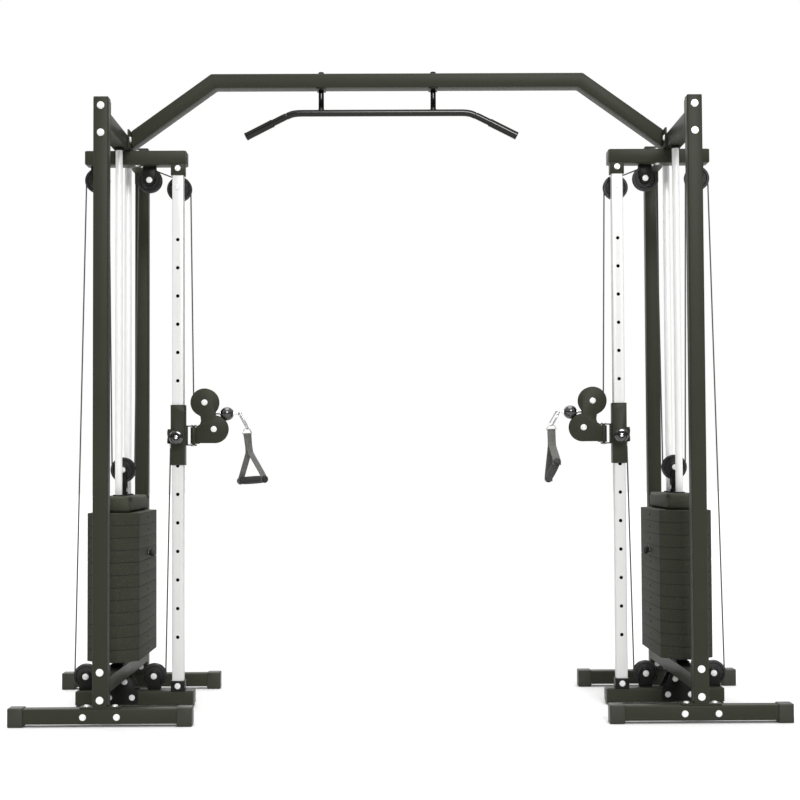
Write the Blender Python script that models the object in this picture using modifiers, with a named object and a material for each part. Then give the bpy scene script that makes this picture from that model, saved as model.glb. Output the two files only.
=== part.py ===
"""Cable crossover machine: two weight-stack towers joined by an overhead beam.

Metres, +Z up. The origin is on the floor, midway between the towers. -Y is the
front, where the user stands. Every tower is drawn once, by its distance "out"
from the middle of the machine, and built on both sides.
"""

import math

import bmesh
import bpy
from mathutils import Euler, Matrix, Vector

# ---------------------------------------------------------------- dimensions
GAP = 0.0003
TUBE = 0.050
WALL = 0.003
PLATE = 0.005
SIDES = {"left": -1, "right": 1}

# Tower plan
TOWER_OUT = 0.9785
UPRIGHT_Y = 0.4445
FOOT_LENGTH = 0.599
FOOT_BOTTOM = 0.009
FOOT_TOP = FOOT_BOTTOM + TUBE
CAP_LENGTH = 0.050
CAP_LIP = 0.0035
BOLT_RADIUS = 0.0095
BOLT_HEAD = 0.0080
UPRIGHT_BOTTOM = FOOT_TOP + GAP
UPRIGHT_TOP = 2.060
FLANGE_LENGTH = 0.132

# Rails that run from the front upright to the rear one
RAIL_END_Y = UPRIGHT_Y - TUBE / 2 - GAP
END_PLATE_HALF_HEIGHT = 0.065
BASE_RAIL_Z = 0.131
TOP_RAIL_Z = 1.9885

# Crossbars that carry the post and the pulleys
CROSSBAR_Y = (-0.052, 0.018)
LOWER_BAR_OUT = (0.7275, 1.1345)
LOWER_BAR_Z = (0.008, 0.058)
UPPER_BAR_OUT = (0.752, 1.106)
UPPER_BAR_Z = (1.9132, 1.9632)
PAD_LENGTH = 0.030

# Adjustment post
POST_OUT = 0.779
POST_Y = -0.0315
POST_SIZE = 0.040
POST_WALL = 0.0025
HOLE_PITCH = 0.100
HOLE_COUNT = 15
HOLE_RADIUS = 0.0062
TOP_HOLE_Z = 1.645
PIN_HOLE = 7
PIN_Z = TOP_HOLE_Z - PIN_HOLE * HOLE_PITCH

# Pulleys and cable
PULLEY_RADIUS = 0.0445
GROOVE_RADIUS = 0.0365
PULLEY_HALF_WIDTH = 0.010
PULLEY_STEPS = 18
BORE_RADIUS = 0.0055
AXLE_RADIUS = 0.0050
CHEEK_Y = 0.0135
CHEEK = 0.003
CABLE_RADIUS = 0.0025
WRAP_RADIUS = 0.040
TOP_OUTER = (1.071, 1.864)
TOP_INNER = (0.885, 1.864)
POST_TOP = (POST_OUT, 1.832)
LOW_OUTER = (1.1085, 0.1045)
LOW_INNER = (0.868, 0.1045)
STACK_PULLEY = (TOWER_OUT, 0.832)
HINGE_OUT = 0.729
ARM_UPPER = (HINGE_OUT - WRAP_RADIUS, 1.0695)
ARM_LOWER = (0.656, 0.9747)
ANCHOR_OUT = 0.811
ANCHOR_Z = 0.930

# Weight stack
ROD_Y = 0.100
ROD_RADIUS = 0.0125
ROD_HOLE = 0.0135
PLATE_COUNT = 12
PLATES_LIFTED = 4
PLATE_PITCH = 0.042
PLATE_HEIGHT = 0.0414
PLATE_HALF_WIDTH = 0.089
PLATE_CORNER_Y = 0.205
PLATE_NOSE_Y = 0.268
PLATE_NOSE_HALF = 0.024
GROOVE_DEPTH = 0.004
STACK_BOTTOM = 0.182
STACK_TOP = STACK_BOTTOM + PLATE_COUNT * PLATE_PITCH
HEAD_HALF_WIDTH = 0.058
HEAD_HALF_DEPTH = 0.200
HEAD_TOP = 0.741
STEM_RADIUS = 0.011
STEM_HOLE = 0.0125
SELECTOR_RADIUS = 0.006

# Carriage, swivel arm and handle
SLEEVE_Z = (0.8506, 1.0569)
SLEEVE_BORE = 0.0412
KNOB_RADIUS = 0.024
KNOB_THICKNESS = 0.018
PIN_TRAVEL = 0.012
BRACKET_Z = (0.917, 0.988)
EAR = 0.004
LOBE_RADIUS = 0.050
BALL_RADIUS = 0.0245
BALL_OUT = 0.6105
BALL_Z = ARM_UPPER[1] - WRAP_RADIUS
HOOK_WIRE = 0.003
HANDLE_PIVOT = {"left": (0.5403, 0.9736), "right": (0.5425, 0.9810)}
GRIP_LENGTH = 0.142
GRIP_RADIUS = 0.014
STRAP_WIDTH = 0.028
STRAP_THICKNESS = 0.003

# Overhead beam and pull-up bar
BEAM_TOP = 2.2405
BEAM_HEIGHT = 0.050
BEAM_HALF_DEPTH = 0.035
BEAM_STRAIGHT = 0.663
BEAM_FOOT_OUT = 0.9470
BEAM_SLOPE = math.radians(35.8)
BAR_MIDDLE = -0.057
BAR_HALF_STRAIGHT = 0.319
BAR_HALF_LENGTH = 0.486
BAR_Z = 2.105
BAR_END_Z = 2.020
BAR_RADIUS = 0.0125
GRIP_SLEEVE_RADIUS = 0.0150
HANGERS = (-0.272, 0.129)


# ------------------------------------------------------------------ materials
def finish(name, colour, roughness, metallic=0.0):
    made = bpy.data.materials.new(name)
    made.use_nodes = True
    shader = made.node_tree.nodes["Principled BSDF"]
    shader.inputs["Base Color"].default_value = (*colour, 1.0)
    shader.inputs["Roughness"].default_value = roughness
    shader.inputs["Metallic"].default_value = metallic
    return made


def make_finishes():
    return {
        "frame": finish("charcoal_powder_coat", (0.055, 0.055, 0.046), 0.50),
        "black": finish("black_powder_coat", (0.020, 0.020, 0.020), 0.45),
        "post": finish("bright_post", (0.78, 0.78, 0.77), 0.25, 0.6),
        "chrome": finish("chrome", (0.85, 0.85, 0.86), 0.10, 1.0),
        "pulley": finish("pulley_nylon", (0.016, 0.016, 0.017), 0.40),
        "weight": finish("stack_plate_shell", (0.095, 0.095, 0.085), 0.70),
        "cable": finish("coated_cable", (0.070, 0.070, 0.070), 0.45),
        "bar": finish("black_chrome", (0.080, 0.080, 0.080), 0.18, 0.9),
        "strap": finish("strap_webbing", (0.050, 0.050, 0.048), 0.90),
        "rubber": finish("moulded_rubber", (0.020, 0.020, 0.020), 0.70),
    }


# ---------------------------------------------------------------------- solids
def clear_scene():
    for obj in list(bpy.data.objects):
        bpy.data.objects.remove(obj, do_unlink=True)


def new_collection(name, parent, hidden=False):
    made = bpy.data.collections.new(name)
    made.hide_render = hidden
    parent.children.link(made)
    return made


def object_from(bm, name):
    bmesh.ops.recalc_face_normals(bm, faces=bm.faces)
    mesh = bpy.data.meshes.new(name)
    bm.to_mesh(mesh)
    bm.free()
    return bpy.data.objects.new(name, mesh)


def box(x, y, z, chamfer=0.0):
    """A box between two limits on each axis, its edges chamfered if asked."""
    bm = bmesh.new()
    bmesh.ops.create_cube(bm, size=1.0)
    for vert in bm.verts:
        vert.co = Vector(
            (max(limits) if value > 0 else min(limits))
            for limits, value in zip((x, y, z), vert.co)
        )
    if chamfer:
        bmesh.ops.bevel(bm, geom=bm.edges, offset=chamfer, segments=1, affect="EDGES")
    return object_from(bm, "box")


def cylinder(start, end, radius, steps=16):
    """A cylinder between two points."""
    start, end = Vector(start), Vector(end)
    run = end - start
    bm = bmesh.new()
    bmesh.ops.create_cone(
        bm, cap_ends=True, segments=steps, radius1=radius, radius2=radius, depth=run.length
    )
    turn = Vector((0, 0, 1)).rotation_difference(run).to_matrix().to_4x4()
    half_step = Matrix.Rotation(math.pi / steps, 4, "Z")
    bm.transform(Matrix.Translation((start + end) / 2) @ turn @ half_step)
    return object_from(bm, "cylinder")


def ball(centre, radius):
    bm = bmesh.new()
    bmesh.ops.create_uvsphere(bm, u_segments=14, v_segments=8, radius=radius)
    bm.transform(Matrix.Translation(centre))
    return object_from(bm, "ball")


def curve_solid(curve, place):
    """A mesh from a curve, with its loose caps welded."""
    holder = bpy.data.objects.new("guide", curve)
    bpy.context.scene.collection.objects.link(holder)
    evaluated = holder.evaluated_get(bpy.context.evaluated_depsgraph_get())
    bm = bmesh.new()
    bm.from_mesh(bpy.data.meshes.new_from_object(evaluated))
    bpy.data.objects.remove(holder, do_unlink=True)
    bmesh.ops.remove_doubles(bm, verts=bm.verts, dist=1e-6)
    bm.transform(place)
    return object_from(bm, "solid")


def slab(outline, y):
    """A flat outline of (x, z) points, extruded between two values of y."""
    curve = bpy.data.curves.new("outline", "CURVE")
    curve.dimensions = "2D"
    curve.fill_mode = "BOTH"
    curve.extrude = (max(y) - min(y)) / 2
    spline = curve.splines.new("POLY")
    spline.points.add(len(outline) - 1)
    spline.use_cyclic_u = True
    for point, (x, z) in zip(spline.points, outline):
        point.co = (x, z, 0, 1)
    upright = Matrix.Rotation(math.pi / 2, 4, "X")
    return curve_solid(curve, Matrix.Translation((0, sum(y) / 2, 0)) @ upright)


def flat_plate(outline, z):
    """A flat outline of (x, y) points, extruded between two heights."""
    solid = slab(outline, (-max(z), -min(z)))
    solid.data.transform(Matrix.Rotation(-math.pi / 2, 4, "X"))
    return solid


def rod(points, radius, closed=False):
    """A round bar or cable along a list of points."""
    curve = bpy.data.curves.new("run", "CURVE")
    curve.dimensions = "3D"
    curve.bevel_depth = radius
    curve.bevel_resolution = 2
    curve.use_fill_caps = True
    spline = curve.splines.new("POLY")
    spline.points.add(len(points) - 1)
    spline.use_cyclic_u = closed
    for point, co in zip(spline.points, points):
        point.co = (*co, 1)
    return curve_solid(curve, Matrix.Identity(4))


class Workshop:
    """Joins and cuts solids into named nodes."""

    def __init__(self):
        scene = bpy.context.scene.collection
        self.finishes = make_finishes()
        self.parts = new_collection("cable_crossover_machine", scene)
        self.cutters = new_collection("cutters", scene, hidden=True)

    def boolean(self, obj, tools, operation, label):
        group = new_collection(f"{obj.name}_{label}", self.cutters, hidden=True)
        for tool in tools:
            group.objects.link(tool)
            tool.hide_render = True
            tool.display_type = "WIRE"
        modifier = obj.modifiers.new(label, "BOOLEAN")
        modifier.operation = operation
        modifier.operand_type = "COLLECTION"
        modifier.solver = "EXACT"
        modifier.collection = group

    def node(self, name, look, solids, cuts=(), after=(), origin=(0, 0, 0)):
        """One named solid: the first of solids, joined, then cut, then joined again."""
        obj = solids[0]
        obj.name = name
        obj.data.name = name
        obj.data.materials.clear()
        obj.data.materials.append(self.finishes[look])
        self.parts.objects.link(obj)
        if len(solids) > 1:
            self.boolean(obj, solids[1:], "UNION", "join")
        if cuts:
            self.boolean(obj, cuts, "DIFFERENCE", "cut")
        if after:
            self.boolean(obj, after, "UNION", "add")
        obj.data.transform(Matrix.Translation(-Vector(origin)))
        obj.location = origin
        return obj


# ---------------------------------------------------------------- small shapes
def around(value, half):
    return (value - half, value + half)


def beyond(limits, extra=0.01):
    return (min(limits) - extra, max(limits) + extra)


def shrunk(limits, wall=WALL):
    return (min(limits) + wall, max(limits) - wall)


def arc(centre, radius, start, end, steps):
    """Points on an arc in the X-Z plane, angles in degrees."""
    made = []
    for step in range(steps + 1):
        angle = math.radians(start + (end - start) * step / steps)
        made.append(
            (centre[0] + radius * math.cos(angle), centre[1] + radius * math.sin(angle))
        )
    return made


def pulley_profile():
    """A closed (radius, width) ring: bore, side walls and rope groove."""
    half = PULLEY_HALF_WIDTH
    return [
        (BORE_RADIUS, -half),
        (BORE_RADIUS, half),
        (PULLEY_RADIUS, half),
        (GROOVE_RADIUS, 0.0025),
        (GROOVE_RADIUS, -0.0025),
        (PULLEY_RADIUS, -half),
    ]


class Tower:
    """One weight-stack tower. side is -1 for the left one and 1 for the right one."""

    def __init__(self, shop, label, side):
        self.shop = shop
        self.label = label
        self.side = side

    def x(self, out):
        """World x for a distance, or a pair of distances, out from the middle."""
        if isinstance(out, tuple):
            return tuple(sorted(self.side * value for value in out))
        return self.side * out

    def node(self, name, look, solids, **options):
        return self.shop.node(f"{self.label}_{name}", look, solids, **options)

    def block(self, out, y, z, chamfer=0.0):
        return box(self.x(out), y, z, chamfer)

    def flat(self, outline, y):
        return slab([(self.x(out), z) for out, z in outline], y)

    def axle(self, centre, y, radius=AXLE_RADIUS, steps=12):
        x = self.x(centre[0])
        return cylinder((x, y[0], centre[1]), (x, y[1], centre[1]), radius, steps)

    def upright_rod(self, out, y, z, radius, steps=16):
        x = self.x(out)
        return cylinder((x, y, z[0]), (x, y, z[1]), radius, steps)

    def cheeks(self, centre, half_width, z):
        """The two side plates of a pulley bracket and the axle across them."""
        return [
            self.block(around(centre[0], half_width), (CHEEK_Y, CHEEK_Y + CHEEK), z),
            self.block(around(centre[0], half_width), (-CHEEK_Y - CHEEK, -CHEEK_Y), z),
            self.axle(centre, around(0.0, CHEEK_Y + CHEEK - 0.0005)),
        ]

    def heads(self, face_y, places):
        """Hex bolt heads standing proud of a face across Y, away from the middle."""
        way = math.copysign(1.0, face_y)
        ends = (face_y - way * 0.001, face_y + way * BOLT_HEAD)
        return [self.axle(place, ends, BOLT_RADIUS, 6) for place in places]

    # ------------------------------------------------------------ steel frame
    def foot(self, name, y):
        out = around(TOWER_OUT, FOOT_LENGTH / 2)
        across = around(y, TUBE / 2)
        height = (FOOT_BOTTOM, FOOT_TOP)
        solids = [self.block(shrunk(out, 0.002), across, height)]
        for cap in ((out[0], out[0] + CAP_LENGTH), (out[1] - CAP_LENGTH, out[1])):
            solids.append(
                self.block(cap, around(y, TUBE / 2 + CAP_LIP), (0.0, FOOT_TOP + CAP_LIP), 0.003)
            )
        bore = self.block(beyond(out), shrunk(across), shrunk(height))
        places = [(TOWER_OUT + offset, 0.0315) for offset in (-0.055, 0.055)]
        face = y + math.copysign(TUBE / 2, y)
        self.node(name, "frame", solids, cuts=[bore], after=self.heads(face, places))

    def upright(self, name, y):
        across = around(TOWER_OUT, TUBE / 2)
        along = around(y, TUBE / 2)
        height = (UPRIGHT_BOTTOM, UPRIGHT_TOP)
        flange = self.block(
            around(TOWER_OUT, FLANGE_LENGTH / 2), along, (UPRIGHT_BOTTOM, UPRIGHT_BOTTOM + PLATE)
        )
        bore = self.block(shrunk(across), shrunk(along), beyond(height))
        places = [
            (TOWER_OUT, z + offset)
            for z in (BASE_RAIL_Z, TOP_RAIL_Z)
            for offset in (-0.045, 0.045)
        ]
        self.node(
            name,
            "frame",
            [self.block(across, along, height), flange],
            cuts=[bore],
            after=self.heads(y + math.copysign(TUBE / 2, y), places),
        )

    def rail(self, name, z):
        across = around(TOWER_OUT, TUBE / 2)
        along = around(0.0, RAIL_END_Y)
        height = around(z, TUBE / 2)
        solids = [self.block(across, shrunk(along, 0.001), height)]
        tall = around(z, END_PLATE_HALF_HEIGHT)
        for ends in ((along[0], along[0] + PLATE), (along[1] - PLATE, along[1])):
            solids.append(self.block(across, ends, tall))
        bore = self.block(shrunk(across), beyond(along), shrunk(height))
        self.node(name, "frame", solids, cuts=[bore])

    def post_socket(self, z):
        """Three plates round the end of the post."""
        half = POST_SIZE / 2 + GAP
        front = POST_Y - half
        side_y = (front - EAR, CROSSBAR_Y[1] - 0.030)
        solids = [
            self.block(around(POST_OUT, half + EAR), (front - EAR, front), z),
            self.block((POST_OUT + half, POST_OUT + half + EAR), side_y, z),
            self.block((POST_OUT - half - EAR, POST_OUT - half), side_y, z),
        ]
        return solids

    def upper_crossbar(self):
        bottom = UPPER_BAR_Z[0]
        solids = [self.block(UPPER_BAR_OUT, CROSSBAR_Y, UPPER_BAR_Z)]
        for centre in (TOP_OUTER, TOP_INNER):
            solids += self.cheeks(centre, 0.022, (centre[1] - 0.018, bottom + 0.0015))
        solids += self.post_socket((1.865, bottom + 0.0015))
        bore = self.block(beyond(UPPER_BAR_OUT), shrunk(CROSSBAR_Y), shrunk(UPPER_BAR_Z))
        self.node("upper_crossbar", "frame", solids, cuts=[bore])

    def lower_crossbar(self):
        top = LOWER_BAR_Z[1]
        solids = [self.block(LOWER_BAR_OUT, CROSSBAR_Y, LOWER_BAR_Z)]
        for end in (LOWER_BAR_OUT[0], LOWER_BAR_OUT[1] - PAD_LENGTH):
            pad = (end, end + PAD_LENGTH)
            solids.append(self.block(beyond(pad, 0.001), beyond(CROSSBAR_Y, 0.002), (0.0, 0.0593)))
        for centre in (LOW_OUTER, LOW_INNER):
            solids += self.cheeks(centre, 0.022, (top - 0.0015, centre[1] + 0.018))
        solids += self.post_socket((top - 0.0015, 0.093))
        rail_bottom = BASE_RAIL_Z - TUBE / 2 - GAP
        gusset = [
            (TOWER_OUT - 0.060, 0.015),
            (TOWER_OUT + 0.060, 0.015),
            (TOWER_OUT + 0.060, 0.050),
            (TOWER_OUT + 0.032, rail_bottom),
            (TOWER_OUT - 0.032, rail_bottom),
            (TOWER_OUT - 0.060, 0.050),
        ]
        solids.append(self.flat(gusset, (CROSSBAR_Y[0] - EAR, CROSSBAR_Y[0] + 0.0005)))
        solids.append(self.flat(gusset, (CROSSBAR_Y[1] - 0.0005, CROSSBAR_Y[1] + EAR)))
        bore = self.block(beyond(LOWER_BAR_OUT), shrunk(CROSSBAR_Y), shrunk(LOWER_BAR_Z))
        self.node("lower_crossbar", "frame", solids, cuts=[bore])

    def post(self):
        across = around(POST_OUT, POST_SIZE / 2)
        along = around(POST_Y, POST_SIZE / 2)
        height = (LOWER_BAR_Z[1] + GAP, UPPER_BAR_Z[0] - GAP)
        cuts = [self.block(shrunk(across, POST_WALL), shrunk(along, POST_WALL), beyond(height))]
        for index in range(HOLE_COUNT):
            centre = (POST_OUT, TOP_HOLE_Z - index * HOLE_PITCH)
            cuts.append(self.axle(centre, beyond(along), HOLE_RADIUS, 8))
        axle = [
            self.axle(POST_TOP, (along[0] - 0.0001, PULLEY_HALF_WIDTH + 0.0040)),
            self.axle(POST_TOP, (along[0] - 0.0060, along[0] + 0.0010), 0.0105, 6),
            self.axle(POST_TOP, (PULLEY_HALF_WIDTH + 0.0008, PULLEY_HALF_WIDTH + 0.0048), 0.009),
        ]
        self.node(
            "adjustment_post", "post", [self.block(across, along, height)], cuts=cuts, after=axle
        )

    # ------------------------------------------------------------ weight stack
    def guide_rods(self):
        bottom = BASE_RAIL_Z + TUBE / 2 + GAP
        top = TOP_RAIL_Z - TUBE / 2 - GAP
        solids = [self.block(around(TOWER_OUT, 0.022), around(0, 0.140), (bottom, bottom + PLATE))]
        for y in (-ROD_Y, ROD_Y):
            solids.append(self.upright_rod(TOWER_OUT, y, (bottom + 0.001, top), ROD_RADIUS))
            solids.append(
                self.upright_rod(TOWER_OUT, y, (bottom + 0.002, STACK_BOTTOM - GAP), 0.022)
            )
        self.node("guide_rods", "chrome", solids)

    def plate_outline(self, inset=0.0):
        half = PLATE_HALF_WIDTH - inset
        quarter = [
            (half, PLATE_CORNER_Y - inset),
            (PLATE_NOSE_HALF, PLATE_NOSE_Y - inset),
        ]
        front = [(x, -y) for x, y in reversed(quarter)]
        right = front + quarter
        left = [(-x, y) for x, y in reversed(right)]
        return [(self.x(TOWER_OUT) + x, y) for x, y in right + left]

    def weight_plates(self, name, first, count):
        """A run of plates, joined by a core just inside their faces."""
        solids = []
        for index in range(first, first + count):
            z = STACK_BOTTOM + index * PLATE_PITCH
            solids.append(flat_plate(self.plate_outline(), (z, z + PLATE_HEIGHT)))
        low = STACK_BOTTOM + first * PLATE_PITCH
        high = low + (count - 1) * PLATE_PITCH + PLATE_HEIGHT
        core = (low + 0.005, high - 0.005)
        solids.append(flat_plate(self.plate_outline(GROOVE_DEPTH), core))
        through = beyond((low, high))
        cuts = [
            self.upright_rod(TOWER_OUT, y, through, radius, 12)
            for y, radius in ((-ROD_Y, ROD_HOLE), (ROD_Y, ROD_HOLE), (0.0, STEM_HOLE))
        ]
        for index in range(first, first + count):
            z = STACK_BOTTOM + index * PLATE_PITCH + PLATE_HEIGHT / 2
            inner = TOWER_OUT - PLATE_HALF_WIDTH
            cuts.append(
                cylinder(
                    (self.x(inner - 0.01), 0, z), (self.x(TOWER_OUT + 0.025), 0, z), SELECTOR_RADIUS, 6
                )
            )
        self.node(name, "weight", solids, cuts=cuts)

    def head_plate(self):
        z = (STACK_TOP + GAP, HEAD_TOP)
        body = self.block(
            around(TOWER_OUT, HEAD_HALF_WIDTH), around(0, HEAD_HALF_DEPTH), z, chamfer=0.008
        )
        cuts = [
            self.upright_rod(TOWER_OUT, y, beyond(z), radius)
            for y, radius in ((-ROD_Y, ROD_HOLE), (ROD_Y, ROD_HOLE), (0.0, STEM_RADIUS + 0.0005))
        ]
        self.node("head_plate", "weight", [body], cuts=cuts)

    def selector_z(self):
        lowest_lifted = PLATE_COUNT - PLATES_LIFTED
        return STACK_BOTTOM + lowest_lifted * PLATE_PITCH + PLATE_HEIGHT / 2

    def selector_stem(self):
        stem_top = HEAD_TOP + 0.030
        z = self.selector_z()
        bridge = (stem_top - 0.006, stem_top)
        solids = [
            self.upright_rod(TOWER_OUT, 0, (STACK_BOTTOM + 0.010, stem_top - 0.001), STEM_RADIUS),
            self.upright_rod(TOWER_OUT, 0, (HEAD_TOP + GAP, HEAD_TOP + 0.014), 0.016, 6),
            self.block(around(TOWER_OUT, 0.013), around(0, CHEEK_Y + 0.001), bridge),
        ]
        solids += self.cheeks(STACK_PULLEY, 0.0115, (bridge[0] - 0.001, STACK_PULLEY[1] + 0.014))
        hole = cylinder(
            (self.x(TOWER_OUT - 0.02), 0, z), (self.x(TOWER_OUT + 0.02), 0, z), BORE_RADIUS, 12
        )
        self.node("selector_stem", "black", solids, cuts=[hole])

    def selector_pin(self):
        z = self.selector_z()
        inner = TOWER_OUT - PLATE_HALF_WIDTH
        shaft = cylinder(
            (self.x(TOWER_OUT + 0.014), 0, z), (self.x(inner - 0.012), 0, z), AXLE_RADIUS - 0.0005, 12
        )
        head = cylinder(
            (self.x(inner - 0.001), 0, z), (self.x(inner - 0.024), 0, z), 0.014, 16
        )
        self.node(
            "selector_pin", "black", [shaft, head], origin=(self.x(inner), 0, z)
        )

    # ----------------------------------------------------------------- pulleys
    def pulley(self, name, centre):
        bm = bmesh.new()
        verts = [bm.verts.new((radius, 0, width)) for radius, width in pulley_profile()]
        for first, second in zip(verts, verts[1:] + verts[:1]):
            bm.edges.new((first, second))
        mesh = bpy.data.meshes.new(name)
        bm.to_mesh(mesh)
        bm.free()
        obj = self.node(name, "pulley", [bpy.data.objects.new(name, mesh)])
        obj.location = (self.x(centre[0]), 0, centre[1])
        obj.rotation_euler = Euler((math.pi / 2, 0, 0))
        screw = obj.modifiers.new("turn", "SCREW")
        screw.steps = PULLEY_STEPS
        screw.render_steps = PULLEY_STEPS
        screw.use_merge_vertices = True
        screw.merge_threshold = 0.00001
        screw.use_smooth_shade = True

    def pulleys(self):
        places = {
            "pulley_top_outer": TOP_OUTER,
            "pulley_top_inner": TOP_INNER,
            "pulley_post_top": POST_TOP,
            "pulley_stack": STACK_PULLEY,
            "pulley_low_outer": LOW_OUTER,
            "pulley_low_inner": LOW_INNER,
            "pulley_arm_upper": ARM_UPPER,
            "pulley_arm_lower": ARM_LOWER,
        }
        for name, centre in places.items():
            self.pulley(name, centre)

    # ---------------------------------------------------------------- carriage
    def carriage_sleeve(self):
        across = around(POST_OUT, TUBE / 2)
        along = around(POST_Y, TUBE / 2)
        inner_face = POST_OUT - TUBE / 2
        back = (inner_face - 0.0035, inner_face + 0.0010)
        ear_out = (HINGE_OUT, back[0] + 0.001)
        solids = [
            self.block(across, along, SLEEVE_Z),
            self.block(back, (-0.040, 0.0115), BRACKET_Z),
            self.axle((POST_OUT, PIN_Z), (along[0] - 0.0185, along[0] + 0.001), 0.012, 14),
            self.block(
                (ANCHOR_OUT - 0.0085, ANCHOR_OUT + 0.0070), (-0.030, 0.0070), (ANCHOR_Z, 0.975)
            ),
        ]
        for z in ((BRACKET_Z[0], BRACKET_Z[0] + EAR), (BRACKET_Z[1] - EAR, BRACKET_Z[1])):
            solids.append(self.block(ear_out, around(0, 0.0113), z))
            solids.append(self.upright_rod(HINGE_OUT, 0, z, 0.0115))
        bore = [
            self.block(
                around(POST_OUT, SLEEVE_BORE / 2), around(POST_Y, SLEEVE_BORE / 2), beyond(SLEEVE_Z)
            ),
            self.axle((POST_OUT, PIN_Z), (along[0] - 0.030, POST_Y), BORE_RADIUS, 12),
        ]
        pin = [self.upright_rod(HINGE_OUT, 0, beyond(BRACKET_Z, 0.003), AXLE_RADIUS, 12)]
        origin = (self.x(POST_OUT), POST_Y, PIN_Z)
        self.node("carriage_sleeve", "frame", solids, cuts=bore, after=pin, origin=origin)

    def pop_pin(self):
        """Drawn pulled out, with its tip just clear of the post."""
        centre = (POST_OUT, PIN_Z)
        tip = POST_Y - SLEEVE_BORE / 2
        boss_front = POST_Y - TUBE / 2 - 0.0185
        knob_back = boss_front - PIN_TRAVEL - 0.0005
        solids = [
            self.axle(centre, (knob_back - 0.010, tip), AXLE_RADIUS - 0.0002, 12),
            self.axle(centre, (knob_back - KNOB_THICKNESS, knob_back), KNOB_RADIUS, 18),
        ]
        self.node("pop_pin", "rubber", solids, origin=(self.x(POST_OUT), tip, PIN_Z))

    def swivel_arm(self):
        left = HINGE_OUT - 0.0120
        low = ARM_LOWER[1] - LOBE_RADIUS + 0.0035
        web = [
            (left, low),
            (ARM_LOWER[0] - 0.005, low),
            (ARM_LOWER[0] - 0.012, ARM_LOWER[1] + 0.020),
            (ARM_LOWER[0] - 0.002, 1.022),
            (ARM_UPPER[0] - 0.022, ARM_UPPER[1] - 0.020),
            (ARM_UPPER[0] + 0.014, ARM_UPPER[1] - 0.020),
            (ARM_UPPER[0] + 0.016, 1.030),
            (ARM_UPPER[0] + 0.013, 1.004),
            (ARM_UPPER[0] + 0.018, 0.993),
            (left, 0.988),
        ]
        solids = []
        for y in ((CHEEK_Y, CHEEK_Y + EAR), (-CHEEK_Y - EAR, -CHEEK_Y)):
            solids.append(self.flat(web, y))
            solids.append(self.axle(ARM_UPPER, y, LOBE_RADIUS, 26))
            solids.append(self.axle(ARM_LOWER, y, LOBE_RADIUS, 26))
        knuckle = (BRACKET_Z[0] + EAR + 0.0015, BRACKET_Z[1] - EAR - 0.0015)
        web_root = (left - 0.016, left)
        solids.append(self.block(web_root, around(0, CHEEK_Y + 0.0005), shrunk(knuckle, 0.004)))
        solids.append(self.block((left - 0.008, HINGE_OUT), around(0, 0.0090), knuckle))
        solids.append(self.upright_rod(HINGE_OUT, 0, knuckle, 0.0113))
        solids.append(self.axle(ARM_UPPER, around(0, CHEEK_Y + EAR - 0.001)))
        solids.append(self.axle(ARM_LOWER, around(0, CHEEK_Y + EAR - 0.001)))
        bore = self.upright_rod(HINGE_OUT, 0, beyond(knuckle), BORE_RADIUS, 12)
        origin = (self.x(HINGE_OUT), 0, sum(BRACKET_Z) / 2)
        self.node("swivel_arm", "frame", solids, cuts=[bore], origin=origin)

    # ------------------------------------------------------------------- cable
    def cable_points(self):
        """The run from the ball stop round every pulley to the anchor on the sleeve."""
        ball_side = (BALL_OUT + BALL_RADIUS + 0.0005, BALL_Z)
        wraps = [
            (ARM_UPPER, -90, 0, 4),
            (POST_TOP, 180, 72, 5),
            (TOP_INNER, 105, 0, 5),
            (STACK_PULLEY, -178, 0, 8),
            (TOP_OUTER, 180, 2, 8),
            (LOW_OUTER, 2, -90, 4),
            (LOW_INNER, -90, -179, 4),
        ]
        points = [ball_side]
        for centre, start, end, steps in wraps:
            points += arc(centre, WRAP_RADIUS, start, end, steps)
        points.append((ANCHOR_OUT, ANCHOR_Z - GAP))
        return [(self.x(out), 0.0, z) for out, z in points]

    def cable(self):
        self.node("cable", "cable", [rod(self.cable_points(), CABLE_RADIUS)])

    def ball_and_hook(self):
        """The rubber stop ball on the cable's end, and the snap hook under it."""
        centre = (self.x(BALL_OUT), 0, BALL_Z)
        pivot = HANDLE_PIVOT[self.label]
        top_end = (BALL_OUT - 0.0470, BALL_Z - 0.0040)
        low_end = (pivot[0], pivot[1] + 0.0085)
        lean = math.degrees(math.atan2(low_end[1] - top_end[1], low_end[0] - top_end[0]))
        loop = arc(top_end, 0.0085, lean + 90, lean + 270, 6)
        loop += arc(low_end, 0.0085, lean - 90, lean + 90, 6)
        hook = rod([(self.x(out), 0.0, z) for out, z in loop], HOOK_WIRE, closed=True)
        shank = cylinder(
            centre, (self.x(BALL_OUT - 0.0385), 0, BALL_Z - 0.003), 0.0045, 10
        )
        self.node("ball_and_hook", "rubber", [ball(centre, BALL_RADIUS), shank, hook], origin=centre)

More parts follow.
